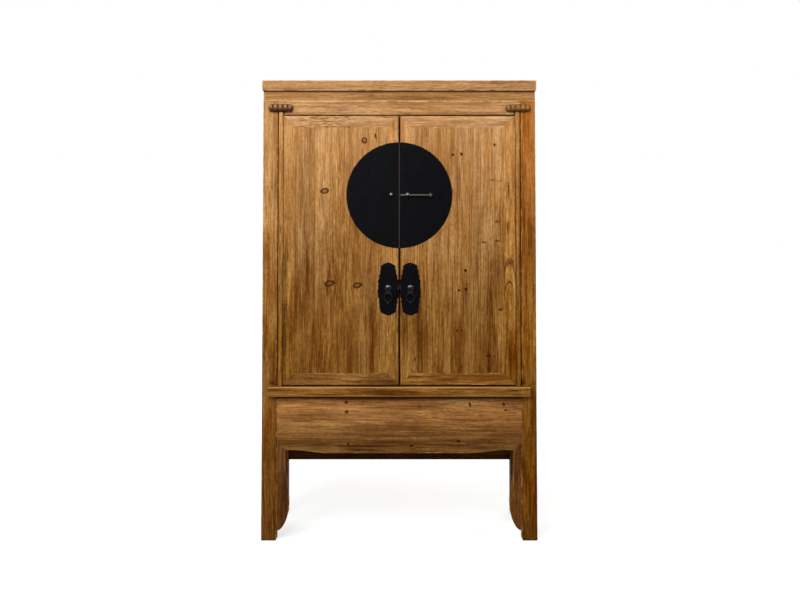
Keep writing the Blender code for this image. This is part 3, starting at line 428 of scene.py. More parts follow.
class WardrobeIron(bpy.types.PropertyGroup):
    """Sizes and colours of the iron fittings"""

    black: colour("Black", "Lacquered face of the plates", 3, 3, 7)
    # The colour of the lighter brown line along the plates' inner edges at the seam
    rubbed: colour("Rubbed", "Metal showing through the lacquer along the edges", 98, 80, 68)
    handled: colour("Handled iron", "Eyes and bosses", 30, 29, 29)
    drop: colour("Dark iron", "Drops of the pulls and nails", 18, 18, 19)
    pin: colour("Worn iron", "Lock pin, worn by sliding", 82, 75, 68)
    # Painted highlights on the tops of the eyes and of the bosses
    bright: colour("Bright iron", "Tops of the eyes, rubbed bare", 140, 140, 144)
    polished: colour("Polished iron", "Tops of the bosses, rubbed by hands", 84, 84, 86)
    eye_width: length("Eye width", "How far a bolt eye reaches along the pin", 0.012)
    eye_bore: length("Eye bore", "Radius of a bolt eye's hole", 0.0047)
    eye_edge: length("Eye edge", "Radius of a bolt eye at its ends", 0.0068)
    eye_swell: length("Eye swell", "How much thicker a bolt eye is in its middle", 0.0025)
    nail_radius: length("Nail radius", "Radius of the nail heads", 0.0034)
    nail_rise: length("Nail rise", "How far the nail heads stand up", 0.0014)
    edge: length("Edge", "Rounding of the fittings' edges", 0.0005)


class WardrobeStage(bpy.types.PropertyGroup):
    """The camera, the light and the floor"""

    floor_size: length("Floor", "Width of the floor", 400)
    distance: length("Camera distance", "From the camera to the wardrobe's front", 4.13)
    height: length("Camera height", "From the floor to the camera", 1.083)
    lens: number("Lens", "Focal length in millimetres", 47.5)
    rise: number("Shift", "Upright shift of the lens", -0.045)
    key: number("Key light", "Power of the main lamp", 88, "POWER")
    fill: number("Fill light", "Power of the side lamp", 16, "POWER")
    back: number("Back light", "Power of the lamp behind", 90, "POWER")
    floor_glow: number("Floor glow", "What whitens the floor under the case", 0.7)
    sky: number("Sky", "Strength of the light from all round", 0.22)


class Wire:
    """What a node works out for each place on a piece; arithmetic with it adds nodes to its tree."""

    def __init__(self, socket):
        self.socket = socket
        self.tree = socket.id_data

    def step(self, operation, *others):
        """One step of arithmetic, with numbers or, axis by axis, with places."""
        kind = "ShaderNodeVectorMath" if self.socket.type == "VECTOR" else "ShaderNodeMath"
        return wire(self.tree, kind, dict(enumerate((self, *others))), operation=operation)

    def __add__(self, other):
        return self.step("ADD", other)

    def __sub__(self, other):
        return self.step("SUBTRACT", other)

    def __rsub__(self, other):
        return self.step("MULTIPLY_ADD", -1.0, other)

    def __mul__(self, other):
        return self.step("MULTIPLY", other)

    def __truediv__(self, other):
        return self.step("DIVIDE", other)

    def __abs__(self):
        return self.step("ABSOLUTE")

    def most(self, other):
        """The larger of two values."""
        return self.step("MAXIMUM", other)

    def least(self, other):
        """The smaller of two values."""
        return self.step("MINIMUM", other)

    def parts(self):
        """A place's X, Y and Z."""
        return [Wire(socket) for socket in add(self.tree, "ShaderNodeSeparateXYZ", {0: self}).outputs]

    def length(self):
        """How far a place is from the origin."""
        return wire(self.tree, "ShaderNodeVectorMath", {0: self}, "Value", operation="LENGTH")

    def scaled(self, factor):
        """A direction, so many times as long."""
        return wire(self.tree, "ShaderNodeVectorMath", {0: self, "Scale": factor}, operation="SCALE")

    def ramp(self, low, high, to_low=0.0, to_high=1.0, kind="SMOOTHSTEP"):
        """A step from one value to another, which is smooth unless its kind says otherwise."""
        limits = {"Value": self, "From Min": low, "From Max": high, "To Min": to_low, "To Max": to_high}
        return wire(self.tree, "ShaderNodeMapRange", limits, interpolation_type=kind)

    def cloud(self, scale, detail=2.0, roughness=0.5):
        """Noise at a place, stretched by a scale for each axis."""
        inputs = {"Vector": self * scale, "Scale": 1.0, "Detail": detail, "Roughness": roughness}
        return wire(self.tree, "ShaderNodeTexNoise", inputs)


def fill(node, inputs):
    """Fills a node's inputs with values or with what other nodes work out."""
    for key, value in inputs.items():
        socket = node.inputs[key]
        if isinstance(value, Wire):
            node.id_data.links.new(value.socket, socket)
        elif socket.type == "RGBA":
            socket.default_value = (*value, 1.0)
        else:
            socket.default_value = value


def add(tree, kind, inputs=None, **settings):
    """Adds a node, sets it up and fills its inputs."""
    node = tree.nodes.new(kind)
    for key, value in settings.items():
        setattr(node, key, value)
    fill(node, inputs or {})
    return node


def wire(tree, kind, inputs=None, output=0, **settings):
    """Adds a node and gives one of its outputs."""
    return Wire(add(tree, kind, inputs, **settings).outputs[output])


def mix(factor, one, other, blend="MIX"):
    """Two colours mixed, or multiplied, by a factor."""
    inputs = {"Factor": factor, 6: one, 7: other}
    return wire(factor.tree, "ShaderNodeMix", inputs, 2, data_type="RGBA", blend_type=blend)


def combine(tree, x=0.0, y=0.0, z=0.0):
    """A place from its three parts."""
    return wire(tree, "ShaderNodeCombineXYZ", {X: x, Y: y, Z: z})


def turned_by(place, turn):
    """A place turned about the origin."""
    return wire(place.tree, "ShaderNodeMapping", {"Vector": place, "Rotation": turn})


def bump(height, strength, distance):
    """The way that a surface faces with a relief on it."""
    return wire(height.tree, "ShaderNodeBump", {"Strength": strength, "Distance": distance, "Height": height})


def object_place(tree):
    """The place on a piece that is being shaded."""
    return wire(tree, "ShaderNodeTexCoord", output="Object")


def own(tree, name, output="Vector"):
    """A value that each piece carries by itself."""
    return wire(tree, "ShaderNodeAttribute", output=output, attribute_type="OBJECT", attribute_name=name)


def new_group(name, places, numbers, results):
    """A node group with its sockets, and the places and then the numbers that go into it."""
    tree = bpy.data.node_groups.new(name, "ShaderNodeTree")
    sockets = [(label, "INPUT", "Vector") for label in places.split()]
    sockets += [(label, "INPUT", "Float") for label in numbers.split()]
    sockets += [(label, "OUTPUT", kind) for label, kind in results.items()]
    for label, way, kind in sockets:
        tree.interface.new_socket(label, in_out=way, socket_type="NodeSocket" + kind)
    return tree, [Wire(socket) for socket in tree.nodes.new("NodeGroupInput").outputs if socket.name]


def use(tree, group, **inputs):
    """What a node group works out."""
    node = add(tree, "ShaderNodeGroup", inputs, node_tree=bpy.data.node_groups[group])
    return [Wire(socket) for socket in node.outputs]


def straight_group():
    """Takes the case's taper out of a place, so that grain and edges follow the leaning boards."""
    tree, (place,) = new_group("straight_place", "place", "", {"straight": "Vector"})
    x, y, z = place.parts()
    lean = (1.0 - z / TAPER_TOP) * (SPLAY / HALF_WIDTH) + 1.0
    add(tree, "NodeGroupOutput", {"straight": combine(tree, x / lean, y, z)})


def straight(place):
    """The same for one point, in Python."""
    lean = 1 + SPLAY / HALF_WIDTH * (1 - place[Z] / TAPER_TOP)
    return Vector((place[X] / lean, place[Y], place[Z]))


def knot_group():
    """Bends the grain sideways round a knot and marks its heart and its dark rim, or all of a small one."""
    results = {"place": "Vector", "hearts": "Float", "rims": "Float"}
    tree, given = new_group("knot", "place middle size sideways", "small hearts rims", results)
    place, middle, size, sideways, small, hearts, rims = given
    away = place - middle
    tilt = {"Vector": away, "Angle": KNOT_TILT}
    tilted = wire(tree, "ShaderNodeVectorRotate", tilt, rotation_type="Y_AXIS")
    far = (tilted / size).length() * (place.cloud((150, 150, 150)) * 0.7 + 0.65)
    stretch = sideways.scaled(-1.8) + (2.8, 2.8, 2.8)
    round_it = (away / (size * stretch)).length()
    near = (round_it * round_it * -0.4).step("EXPONENT")
    bend = (away * sideways).scaled(near * -0.5)
    rim = abs(far - 0.80).ramp(0.40, 0.10)
    mark = mix(small, rim, far.ramp(1.0, 0.4))
    hearts = far.ramp(0.95, 0.6).most(hearts)
    add(tree, "NodeGroupOutput", {"place": place + bend, "hearts": hearts, "rims": mark.most(rims)})


def mark_group(name):
    """A node group for a mark with a middle, a size and a depth, which adds to the rims that are there."""
    return new_group(name, "place middle size", "depth rims", {"rims": "Float"})


def stain_group():
    """Marks a ragged stain or scuff that leaves the grain as it is."""
    tree, (place, middle, size, depth, rims) = mark_group("stain")
    ragged = place.cloud((45, 45, 160), 4.0, 0.7) * 1.8
    far = ((place - middle) / size).length() * ragged
    add(tree, "NodeGroupOutput", {"rims": (far.ramp(1.0, 0.2) * depth).most(rims)})


def loop_group():
    """Marks the line of a tall loop in the grain, strongest at its top."""
    tree, (place, middle, size, depth, rims) = mark_group("grain_loop")
    share = (place - middle) / size
    far = share.length() * (place.cloud((60, 60, 25)) * 0.5 + 0.75)
    line = abs(far - 1.0).ramp(0.13, 0.03)
    upper = share.parts()[Z].ramp(-1.0, 0.4, 0.25, 1.0)
    add(tree, "NodeGroupOutput", {"rims": (line * upper * depth).most(rims)})


def arris_group(wood):
    """How near a place on a board is to its rubbed edges, and to the sides where joint grime and painted
    shade lie.
    """
    results = {"arris": "Float", "dirt": "Float"}
    tree, given = new_group("arris", "place low high dirt_low dirt_high", "wear", results)
    place, low, high, dirt_low, dirt_high, wear = given
    from_low = place - low
    from_high = high - place
    x, y, z = from_low.least(from_high).parts()
    second = x.least(y).most(x.most(y).least(z))
    whole = (wear - 1.0) * 0.15 + place.cloud((30, 30, 30), 3.0)
    reach = whole.ramp(0.36, 0.62) * wood.arris_wear
    edge = 1.0 - second / (reach + 0.0004)

    inside_low = (dirt_low - from_low) / dirt_low
    inside_high = (dirt_high - from_high) / dirt_high
    x, y, z = inside_low.most(inside_high).parts()
    deepest = x.most(y).most(z)
    add(tree, "NodeGroupOutput", {"arris": edge.ramp(0.0, 0.6), "dirt": deepest.ramp(0.0, 0.75)})


def pine_group(wood):
    """Streaks and rings along Z, dashes, knots, bare arrises, grime and painted shade, and the darkening
    towards the floor, which is partly patina and partly painted shade.
    """
    results = {"colour": "Color", "roughness": "Float", "normal": "Vector"}
    tree, given = new_group("pine", "grain place", "hearts rims arris dirt tone strength calm", results)
    board, place, hearts, rims, arris, dirt, tone, strength, calm = given
    wide, long, ringed = 1 / wood.streak_width, 1 / wood.streak_length, 1 / wood.ring_gap / 3
    height = place.parts()[Z]
    low = height.ramp(*LOW_PATINA_AND_SHADE)
    sway = board.cloud((7, 7, 1.4), 3.0) * 0.024
    grain = board + combine(tree, sway, sway)

    # Pale and brown streaks in wider zones, some of them greyer
    zone = grain.cloud((26, 26, 2.0))
    streak = grain.cloud((wide, wide, long))
    fibre = grain.cloud((wide * 2.5, wide * 2.5, long * 4), 2.0, 0.6)
    shade = (streak * 0.42 + zone * 0.30 + fibre * 0.28).ramp(0.37, 0.64, kind="LINEAR")
    bands = add(tree, "ShaderNodeValToRGB", {"Fac": shade})
    stops = bands.color_ramp.elements
    stops[0].color = (*wood.brown, 1)
    stops[1].color = (*wood.pale, 1)
    for share, shown in ((0.30, wood.amber), (0.62, wood.honey)):
        stops.new(share).color = (*shown, 1)
    greyer = grain.cloud((13, 13, 1.6)).ramp(0.44, 0.60)
    base = mix(greyer * 0.45, Wire(bands.outputs["Color"]), wood.straw)

    # Broken dark lines of the rings, and dark threads that grow stronger towards the floor
    ring = (grain.cloud((ringed, ringed, 1.2), 1.0) * 9.0).step("FRACT")
    broken = grain.cloud((30, 30, 6), 3.0).ramp(0.38, 0.58)
    late = ring.ramp(0.55, 0.92) * ring.ramp(1.0, 0.94) * broken * 0.38
    thread = grain.cloud((wide * 0.9, wide * 0.9, long * 0.6), 1.0).ramp(0.54, 0.68)
    base = mix(late.most(thread * (low * 0.35 + 0.32)), base, wood.brown)

    # Soft dark patches, specks, short dashes, smudges and weathered places
    cloudy = grain.cloud((15, 15, 3.2), 3.0).ramp(0.46, 0.62) * low
    base = mix(cloudy * 0.8, base, wood.smudge, "MULTIPLY")
    speck = grain.cloud((wide * 0.9, wide * 0.9, wide * 0.3), 3.0, 0.6).ramp(0.40, 0.64)
    base = mix(speck, base, wood.speck, "MULTIPLY")
    patch = board.cloud((6, 6, 2.2)).ramp(0.42, 0.62)
    pores = grain.cloud((wide * 1.4, wide * 1.4, long * 2.4), 1.0).ramp(0.61, 0.70)
    dashes = pores * (patch * 0.7 + 0.3)
    base = mix(dashes * 0.8, base, wood.dash)
    smudges = grain.cloud((45, 45, 3.2), 5.0, 0.62).ramp(0.48, 0.64)
    base = mix(smudges, base, wood.smudge, "MULTIPLY")
    ragged = grain.cloud((wide / 3, wide / 3, long * 1.6), 5.0, 0.7).ramp(0.44, 0.66)
    base = mix(ragged * patch, base, wood.weather, "MULTIPLY")
    base = mix(height.ramp(*CALM_HEIGHTS, 0.0, UPPER_CALM).most(calm), base, wood.even)

    # Knots, the darkening towards the floor that is partly patina and partly painted shade, bare edges, and
    # dirt and painted shade
    base = mix(hearts * 0.7, base, wood.heart)
    base = mix(rims * 0.9, base, wood.knot)
    # Darker below the doors' middle, partly patina and partly painted shade
    base = mix(low, base, wood.low_tint, "MULTIPLY")
    bare = mix(low * 0.4, wood.arris, wood.low_tint, "MULTIPLY")
    base = mix(arris * 0.75, base, bare)
    # Darker still near the feet, partly patina and partly painted shade
    base = mix(height.ramp(*FOOT_PATINA_AND_SHADE), base, wood.foot_tint, "MULTIPLY")
    lit = wire(tree, "ShaderNodeHueSaturation", {"Value": tone, "Saturation": strength, "Color": base})
    # Dirt in the joints, and painted shade in creases, under the sill, under the top board and under the
    # chips' lips
    soiled_and_shaded = mix(dirt * 0.9, lit, wood.dirt)

    roughness = fibre * 0.22 + 0.42 + dashes * 0.12
    relief = fibre * 0.8 + shade * 0.5 - dashes.most(rims) * 0.6
    normal = bump(relief, 0.35, 0.0006)
    add(tree, "NodeGroupOutput", {"colour": soiled_and_shaded, "roughness": roughness, "normal": normal})


def blank(name):
    """A new material with its shader and nothing else linked."""
    material = bpy.data.materials.new(name)
    material.use_nodes = True
    return material, material.node_tree, material.node_tree.nodes["Principled BSDF"]


def planks(across, joints):
    """Tells the boards of a panel apart: a lightness for each and the thin dark joints between them."""
    lightness, lines, last = 1.0, 0.0, 1.0
    for joint, tone in joints:
        lightness = across.step("GREATER_THAN", joint) * (tone - last) + lightness
        lines = abs(across - joint).ramp(*JOINT_LINE).most(lines)
        last = tone
    return lightness, lines * JOINT_DARKNESS


def chips(place, low, high):
    """How much a board is chipped at a place, from 0 to 1, between two places across."""
    across = place.parts()[X]
    begins = across.ramp(low, low + CHIP_FADE)
    ends = across.ramp(high, high - CHIP_FADE)
    return begins * ends * place.cloud(CHIP_GRAIN).ramp(*CHIP_PART)


def marked(place, turn, knots, stains, loops):
    """The grain bent round a board's knots, and the marks of its knots, stains and loops."""
    tree = place.tree
    bent, hearts, rims = place, 0.0, 0.0
    for x, z, half_width, half_height, small in knots:
        knot = {"middle": (x, 0, z), "size": (half_width, ANY_DEPTH, half_height), "small": small}
        knot["sideways"] = SIDEWAYS[turn]
        bent, hearts, rims = use(tree, "knot", place=bent, hearts=hearts, rims=rims, **knot)
    for group, marks in (("stain", stains), ("grain_loop", loops)):
        for x, z, half_width, half_height, depth in marks:
            mark = {"middle": (x, 0, z), "size": (half_width, ANY_DEPTH, half_height), "depth": depth}
            rims = use(tree, group, place=place, rims=rims, **mark)[0]
    return bent, hearts, rims


def pine(
    name, turn, knots=(), stains=(), loops=(), joints=(), axis=X,
    crease_shade=None, chipped=None, tint=None, calm=0.0,
):
    """A pine finish: the way its grain runs; its knots, stains and loops in the grain; the joints of its
    boards along an axis; the painted shade beside a pivot post; the places between which it is chipped, with
    painted shadow under the chips' upper lips; a tint that grows between two heights; and how calm its
    pattern is."""
    material, tree, shader = blank(name)
    place = use(tree, "straight_place", place=object_place(tree))[0]
    parts = place.parts()
    bent, hearts, rims = marked(place, turn, knots, stains, loops)
    carried = {label: own(tree, label) for label in ("low", "high", "dirt_low", "dirt_high")}
    arris, dirt = use(tree, "arris", place=place, wear=own(tree, "wear", "Fac"), **carried)
    tone = own(tree, "tone", "Fac")
    if joints:
        lightness, lines = planks(parts[axis], joints)
        tone = tone * lightness
        dirt = dirt.most(lines)
    # Painted shade in the crease beside a pivot post, below a given height
    if crease_shade:
        middle, top, reach, depth = crease_shade
        near = abs(abs(parts[X]) - middle).ramp(reach, reach * CREASE_CORE)
        dirt = dirt.most(parts[Z].step("LESS_THAN", top) * depth * near)
    # Painted shadow under the upper lips of the chips
    if chipped:
        chip_shadow = chips(place, *chipped) - chips(place + CHIP_SHADOW_REACH, *chipped)
        dirt = dirt.most(chip_shadow.ramp(0.15, 0.60, 0.0, CHIP_SHADOW_DARKNESS))
    look = {"hearts": hearts, "rims": rims, "arris": arris, "dirt": dirt, "tone": tone, "calm": calm}
    look["strength"] = own(tree, "strength", "Fac")
    grain = turned_by(bent, turn) + own(tree, "board")
    base, roughness, normal = use(tree, "pine", grain=grain, place=place, **look)
    if tint:
        hue, none, full = tint
        base = mix(parts[Z].ramp(none, full), base, hue, "MULTIPLY")
    fill(shader, {"Base Color": base, "Roughness": roughness, "Normal": normal, "Specular IOR Level": DULL})
    return material


def carved_pine(name, tint, gloss, depth):
    """Handled, darkened pine, black in the grooves and under the carving with grime and painted shade, and
    lighter along the tops of its beads with a painted highlight.
    """
    material, tree, shader = blank(name)
    place, low, high = object_place(tree), own(tree, "low"), own(tree, "high")
    x, _, z = ((place - low) / (high - low)).parts()
    swell = abs((x * (math.pi * BLOCK_BEADS)).step("SINE"))
    # Grime and painted shade in the grooves, and painted shade under the block
    grooves = swell.ramp(0.66, 0.16).most(z.ramp(0.40, 0.12)) * depth
    # Painted highlight along the tops of the beads
    crown_highlight = z.ramp(0.42, 0.64) * z.ramp(0.98, 0.80) * swell.ramp(0.45, 0.85)
    look = {"dirt": grooves, "tone": 1.0, "strength": 1.0}
    base, roughness, normal = use(tree, "pine", grain=turned_by(place, ACROSS), place=place, **look)
    shaded = mix(1.0 - crown_highlight * 0.7, base, tint, "MULTIPLY")
    fill(shader, {"Base Color": shaded, "Roughness": roughness * (1 - gloss), "Normal": normal})
    fill(shader, {"Specular IOR Level": gloss})
    return material


def lacquered_iron(iron):
    """Black lacquer over iron, a lighter brown along the plates' inner edges at the doors' seam."""
    material, tree, shader = blank("black_lacquered_iron")
    place = object_place(tree)
    mottle = place.cloud((40, 40, 40), 4.0, 0.6)
    base = mix(mottle.ramp(0.35, 0.7), iron.black, [value * 0.6 for value in iron.black])
    seam = abs(place.parts()[X]).ramp(0.0019, 0.0007)
    hammered = bump(place.cloud((110, 110, 110)), 0.12, 0.001)
    fill(shader, {"Base Color": mix(seam, base, iron.rubbed), "Roughness": mottle * 0.25 + 0.36})
    fill(shader, {"Normal": hammered, "Specular IOR Level": DULL})
    return material


def handled_iron(name, tone, bright=None, top=0, reach=0):
    """Dark iron, with a painted highlight below its top: how high that top is and how far down the highlight
    reaches.
    """
    material, tree, shader = blank(name)
    place = object_place(tree)
    mottle = place.cloud((160, 160, 160), 4.0, 0.6)
    base = mix(mottle.ramp(0.38, 0.66), [value * 0.4 for value in tone], tone)
    # Painted highlight below the top
    if bright:
        base = mix(place.parts()[Z].ramp(top - reach, top - reach / 2), base, bright)
    fill(shader, {"Base Color": base, "Roughness": mottle * 0.3 + 0.22, "Metallic": 0.85})
    fill(shader, {"Normal": bump(mottle, 0.2, 0.0004)})
    return material


def shape_group(name):
    """A geometry-nodes tree with the shape that goes in."""
    tree = bpy.data.node_groups.new(name, "GeometryNodeTree")
    for way in ("INPUT", "OUTPUT"):
        tree.interface.new_socket("Geometry", in_out=way, socket_type="NodeSocketGeometry")
    return tree, Wire(tree.nodes.new("NodeGroupInput").outputs[0])


def reshaped(shape, kind, inputs, **settings):
    """A shape after one more step."""
    return wire(shape.tree, kind, {0: shape, **inputs}, **settings)


def moved(shape, offset):
    """A shape with each of its points moved."""
    return reshaped(shape, "GeometryNodeSetPosition", {"Offset": offset})


def smoothing():
    """Geometry nodes that close a node's loose triangles and smooth what isn't an edge."""
    tree, shape = shape_group("closed_and_smooth")
    shape = reshaped(shape, "GeometryNodeRemoveAttribute", {"Name": "custom_normal"})
    shape = reshaped(shape, "GeometryNodeMergeByDistance", {"Distance": JOINED})
    shape = reshaped(shape, "GeometryNodeSetShadeSmooth", {"Shade Smooth": True})
    angle = wire(tree, "GeometryNodeInputMeshEdgeAngle")
    sharp = wire(tree, "FunctionNodeCompare", {0: angle, 1: NODE_EDGE}, operation="GREATER_THAN")
    edges = {"Selection": sharp, "Shade Smooth": False}
    shape = reshaped(shape, "GeometryNodeSetShadeSmooth", edges, domain="EDGE")
    add(tree, "NodeGroupOutput", {0: shape})


def socketed(name, place, radius, depth, wear, front):
    """Geometry nodes that wear a block in front of the case and bore the socket for a door's dowel."""
    tree, shape = shape_group(name)
    uneven = wire(tree, "ShaderNodeTexNoise", {"Scale": WEAR_SCALE, "Detail": 1.0})
    y = wire(tree, "GeometryNodeInputPosition").parts()[Y]
    lost = (uneven - WEAR_START).least(0.0) * y.ramp(front, front - WEAR_FADE) * wear
    shape = moved(shape, wire(tree, "GeometryNodeInputNormal").scaled(lost))
    bore = {"Vertices": 32, "Radius": radius, "Depth": depth}
    rod = wire(tree, "GeometryNodeMeshCylinder", bore, "Mesh")
    rod = reshaped(rod, "GeometryNodeTransform", {"Translation": place})
    bored = reshaped(shape, "GeometryNodeMeshBoolean", {1: rod}, operation="DIFFERENCE", solver="MANIFOLD")
    add(tree, "NodeGroupOutput", {0: bored})
    return tree


def dented(name, low, high):
    """Geometry nodes that chip the front of a board between two places across."""
    tree, shape = shape_group(name)
    front = wire(tree, "GeometryNodeInputNormal").parts()[Y] * -1.0
    depth = chips(wire(tree, "GeometryNodeInputPosition"), low, high) * front.ramp(0.8, 0.95, 0.0, CHIP_DEPTH)
    add(tree, "NodeGroupOutput", {0: moved(shape, combine(tree, y=depth))})
    return tree


def scalloped(name, middle, height):
    """Geometry nodes that draw in the sides of a plate at even steps up and down from a height."""
    tree, shape = shape_group(name)
    shape = reshaped(shape, "GeometryNodeSubdivideMesh", {"Level": 2})
    x, _, z = wire(tree, "GeometryNodeInputPosition").parts()
    across = x - middle
    notch = 1.0 - abs(((z - height) * (math.pi / SCALLOP)).step("SINE"))
    inwards = across.step("SIGN") * -1.0
    off = inwards * abs(across).ramp(*SCALLOP_FADE, 0.0, SCALLOP_DEPTH) * notch
    add(tree, "NodeGroupOutput", {0: moved(shape, combine(tree, off))})
    return tree


def straight_box(name):
    """A node's lowest and highest places with the taper taken out."""
    places = [straight(vertex.co) for vertex in NODES[name].data.vertices]
    return [[side(place[axis] for place in places) for axis in (X, Y, Z)] for side in (min, max)]


def middle_of(name):
    """The middle of a node's box."""
    low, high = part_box(name)
    return low.lerp(high, 0.5)


def finish_node(name, material, edge, wear=1.0):
    """Gives a node its finish and its rounded edges, and its own stretch of the pattern."""
    node = NODES[name]
    node.data.materials.clear()
    node.data.materials.append(material)
    low, high = straight_box(name)
    if name in LONG_EDGES:
        low[X] -= END_REACH
        high[X] += END_REACH
    node["low"], node["high"] = low, high
    node["dirt_low"], node["dirt_high"] = JOINT_DIRT_AND_SHADE.get(name, (NO_DIRT, NO_DIRT))
    place = list(NODES).index(name)
    node["board"] = [step * place for step in PATTERN_STEP]
    plain = (1 + TONE_RANGE * math.sin(TONE_TURN * place), 1.0)
    node["tone"], node["strength"] = BOARD_TONES.get(name, plain)
    node["wear"] = EDGE_WEAR.get(name, wear)
    node.modifiers.new("closed", "NODES").node_group = bpy.data.node_groups["closed_and_smooth"]
    bevel = node.modifiers.new("arris", "BEVEL")
    bevel.width = edge
    bevel.segments = EDGE_SEGMENTS
    bevel.limit_method = "ANGLE"
    bevel.angle_limit = NODE_EDGE
    bevel.harden_normals = True


def object_from(bm, name, material, body):
    """A finished piece from a bmesh, riding on a body."""
    bmesh.ops.recalc_face_normals(bm, faces=bm.faces)
    mesh = bpy.data.meshes.new(name)
    bm.to_mesh(mesh)
    bm.free()
    mesh.materials.append(material)
    mesh.shade_smooth()
    mesh.set_sharp_from_angle(angle=PIECE_EDGE)
    piece = bpy.data.objects.new(name, mesh)
    bpy.context.scene.collection.objects.link(piece)
    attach(piece, body)
    return piece


class WARDROBE_OT_patterns(bpy.types.Operator):
    """Makes the groups that the pine and the edges are built from"""

    bl_idname = "wardrobe.patterns"
    bl_label = "Patterns"

    def execute(self, context):
        wood = context.scene.wardrobe_wood
        straight_group()
        knot_group()
        stain_group()
        loop_group()
        arris_group(wood)
        pine_group(wood)
        smoothing()
        return {"FINISHED"}


class WARDROBE_OT_case(bpy.types.Operator):
    """Finishes the posts, rails, panels and boards of the case"""

    bl_idname = "wardrobe.case"
    bl_label = "Case"

    def execute(self, context):
        wood = context.scene.wardrobe_wood
        post = straight_box("front_right_post")[0][X]
        # The posts carry painted shade in the crease beside the doors' pivot posts, below the head rail
        posts = {"stains": POST_STAINS, "crease_shade": (post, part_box("front_head_rail")[0].z, *POST_SHADE)}
        apron = {"tint": (wood.apron_tint, *APRON_TINT), "calm": APRON_CALM}
        finishes = {
            LEFT_POSTS: pine("pine_left_posts", UPRIGHT, tint=(wood.left_post_tint, *LEFT_TINT), **posts),
            RIGHT_POSTS: pine("pine_right_posts", UPRIGHT, tint=(wood.right_post_tint, *RIGHT_TINT), **posts),
            ("left_spandrel",): pine("pine_left_spandrel", UPRIGHT, joints=SPANDREL_JOINT, axis=Z),
            ("front_head_rail",): pine("pine_head_rail", ACROSS, stains=HEAD_RAIL_STAINS),
            FRONT_BOARDS + BACK_BOARDS: pine("pine_across", ACROSS),
            FLAT_BOARDS: pine("pine_flat", ACROSS, joints=DEPTH_JOINTS, axis=Y),
            DEEP_BOARDS: pine("pine_deep", DEEP),
            SIDE_PANELS: pine("pine_sides", UPRIGHT, joints=DEPTH_JOINTS, axis=Y),
            BACK_PANELS: pine("pine_back", UPRIGHT, joints=BACK_JOINTS),
            ("front_apron",): pine("pine_apron", ACROSS, APRON_KNOTS, APRON_STAINS, **apron),
        }
        for names, material in finishes.items():
            for name in names:
                finish_node(name, material, wood.arris_radius)
        return {"FINISHED"}


class WARDROBE_OT_blocks(bpy.types.Operator):
    """Carves the two pivot blocks over the doors as rows of turned beads"""

    bl_idname = "wardrobe.blocks"
    bl_label = "Pivot blocks"

    def execute(self, context):
        wood = context.scene.wardrobe_wood
        # The fourth value sets how dark the dirt and painted shade in a block's grooves are
        for side, (name, tint, gloss, grooves, wear) in BLOCK_FINISHES.items():
            self.block(wood, side, carved_pine(name, getattr(wood, tint), gloss, grooves), wear)
        return {"FINISHED"}

    def block(self, wood, side, material, wear):
        name = f"{side}_pivot_block"
        low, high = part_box(name)
        middle = middle_of(name)
        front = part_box(f"front_{side}_post")[0].y
        socket = Vector((middle.x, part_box(f"{side}_hinge_stile")[0].y + BEAD_RADIUS, low.z))
        over = wood.block_overhang / 2
        centre = Vector((middle.x + SIGNS[side] * over, front - BLOCK_STAND, middle.z))
        size = Vector(((high.x - low.x) / 2 + over, centre.y - low.y, (high.z - low.z) / 2))
        bm = self.beads(wood.bead_groove)
        self.tail(bm, BLOCK_STAND / size.y, (high.y - centre.y) / size.y)
        bmesh.ops.transform(bm, matrix=Matrix.LocRotScale(centre, None, size), verts=bm.verts)
        piece = object_from(bm, f"{side}_carved_block", material, "case")
        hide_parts(name)
        piece["low"] = list(centre - size)
        piece["high"] = list(centre + size)
        depth = 2 * (DOWEL_LENGTH + DOWEL_PLAY)
        bored = socketed(f"{side}_socket", socket, DOWEL_RADIUS + DOWEL_PLAY, depth, wear, front)
        piece.modifiers.new("socket", "NODES").node_group = bored
        piece.modifiers.new("smooth", "NODES").node_group = bpy.data.node_groups["closed_and_smooth"]

    def beads(self, groove):
        """The front half of a row of beads along X, one unit in size each way from its middle."""
        bm = bmesh.new()
        outline = []
        steps = BLOCK_BEADS * BEAD_STEPS
        for step in range(steps + 1):
            along = -math.cos(math.pi * step / steps)
            swell = abs(math.sin(math.pi * BLOCK_BEADS * (along + 1) / 2)) ** 0.5
            radius = (1 - abs(along) ** BLOCK_END) ** 0.5 * (1 - groove * (1 - swell))
            outline.append(bm.verts.new((along, 0, radius)))
        edges = [bm.edges.new(pair) for pair in zip(outline, outline[1:])]
        turn = {"axis": (1, 0, 0), "cent": (0, 0, 0), "angle": math.pi, "steps": BLOCK_TURNS}
        bmesh.ops.spin(bm, geom=outline + edges, **turn)
        bmesh.ops.remove_doubles(bm, verts=bm.verts, dist=0.0001)
        return bm

    def tail(self, bm, stand, reach):
        """Takes the open back to the head rail's face, and a narrower tail on into the rail."""
        rim = [edge for edge in bm.edges if edge.is_boundary]
        for deep, size in ((stand, (1, 1, 1)), (stand, BLOCK_TAIL), (reach, (1, 1, 1))):
            made = bmesh.ops.extrude_edge_only(bm, edges=rim)["geom"]
            rim = [item for item in made if isinstance(item, bmesh.types.BMEdge)]
            corners = list({corner for edge in rim for corner in edge.verts})
            for corner in corners:
                corner.co.y = deep
            bmesh.ops.scale(bm, vec=size, verts=corners)
        bmesh.ops.edgeloop_fill(bm, edges=rim)


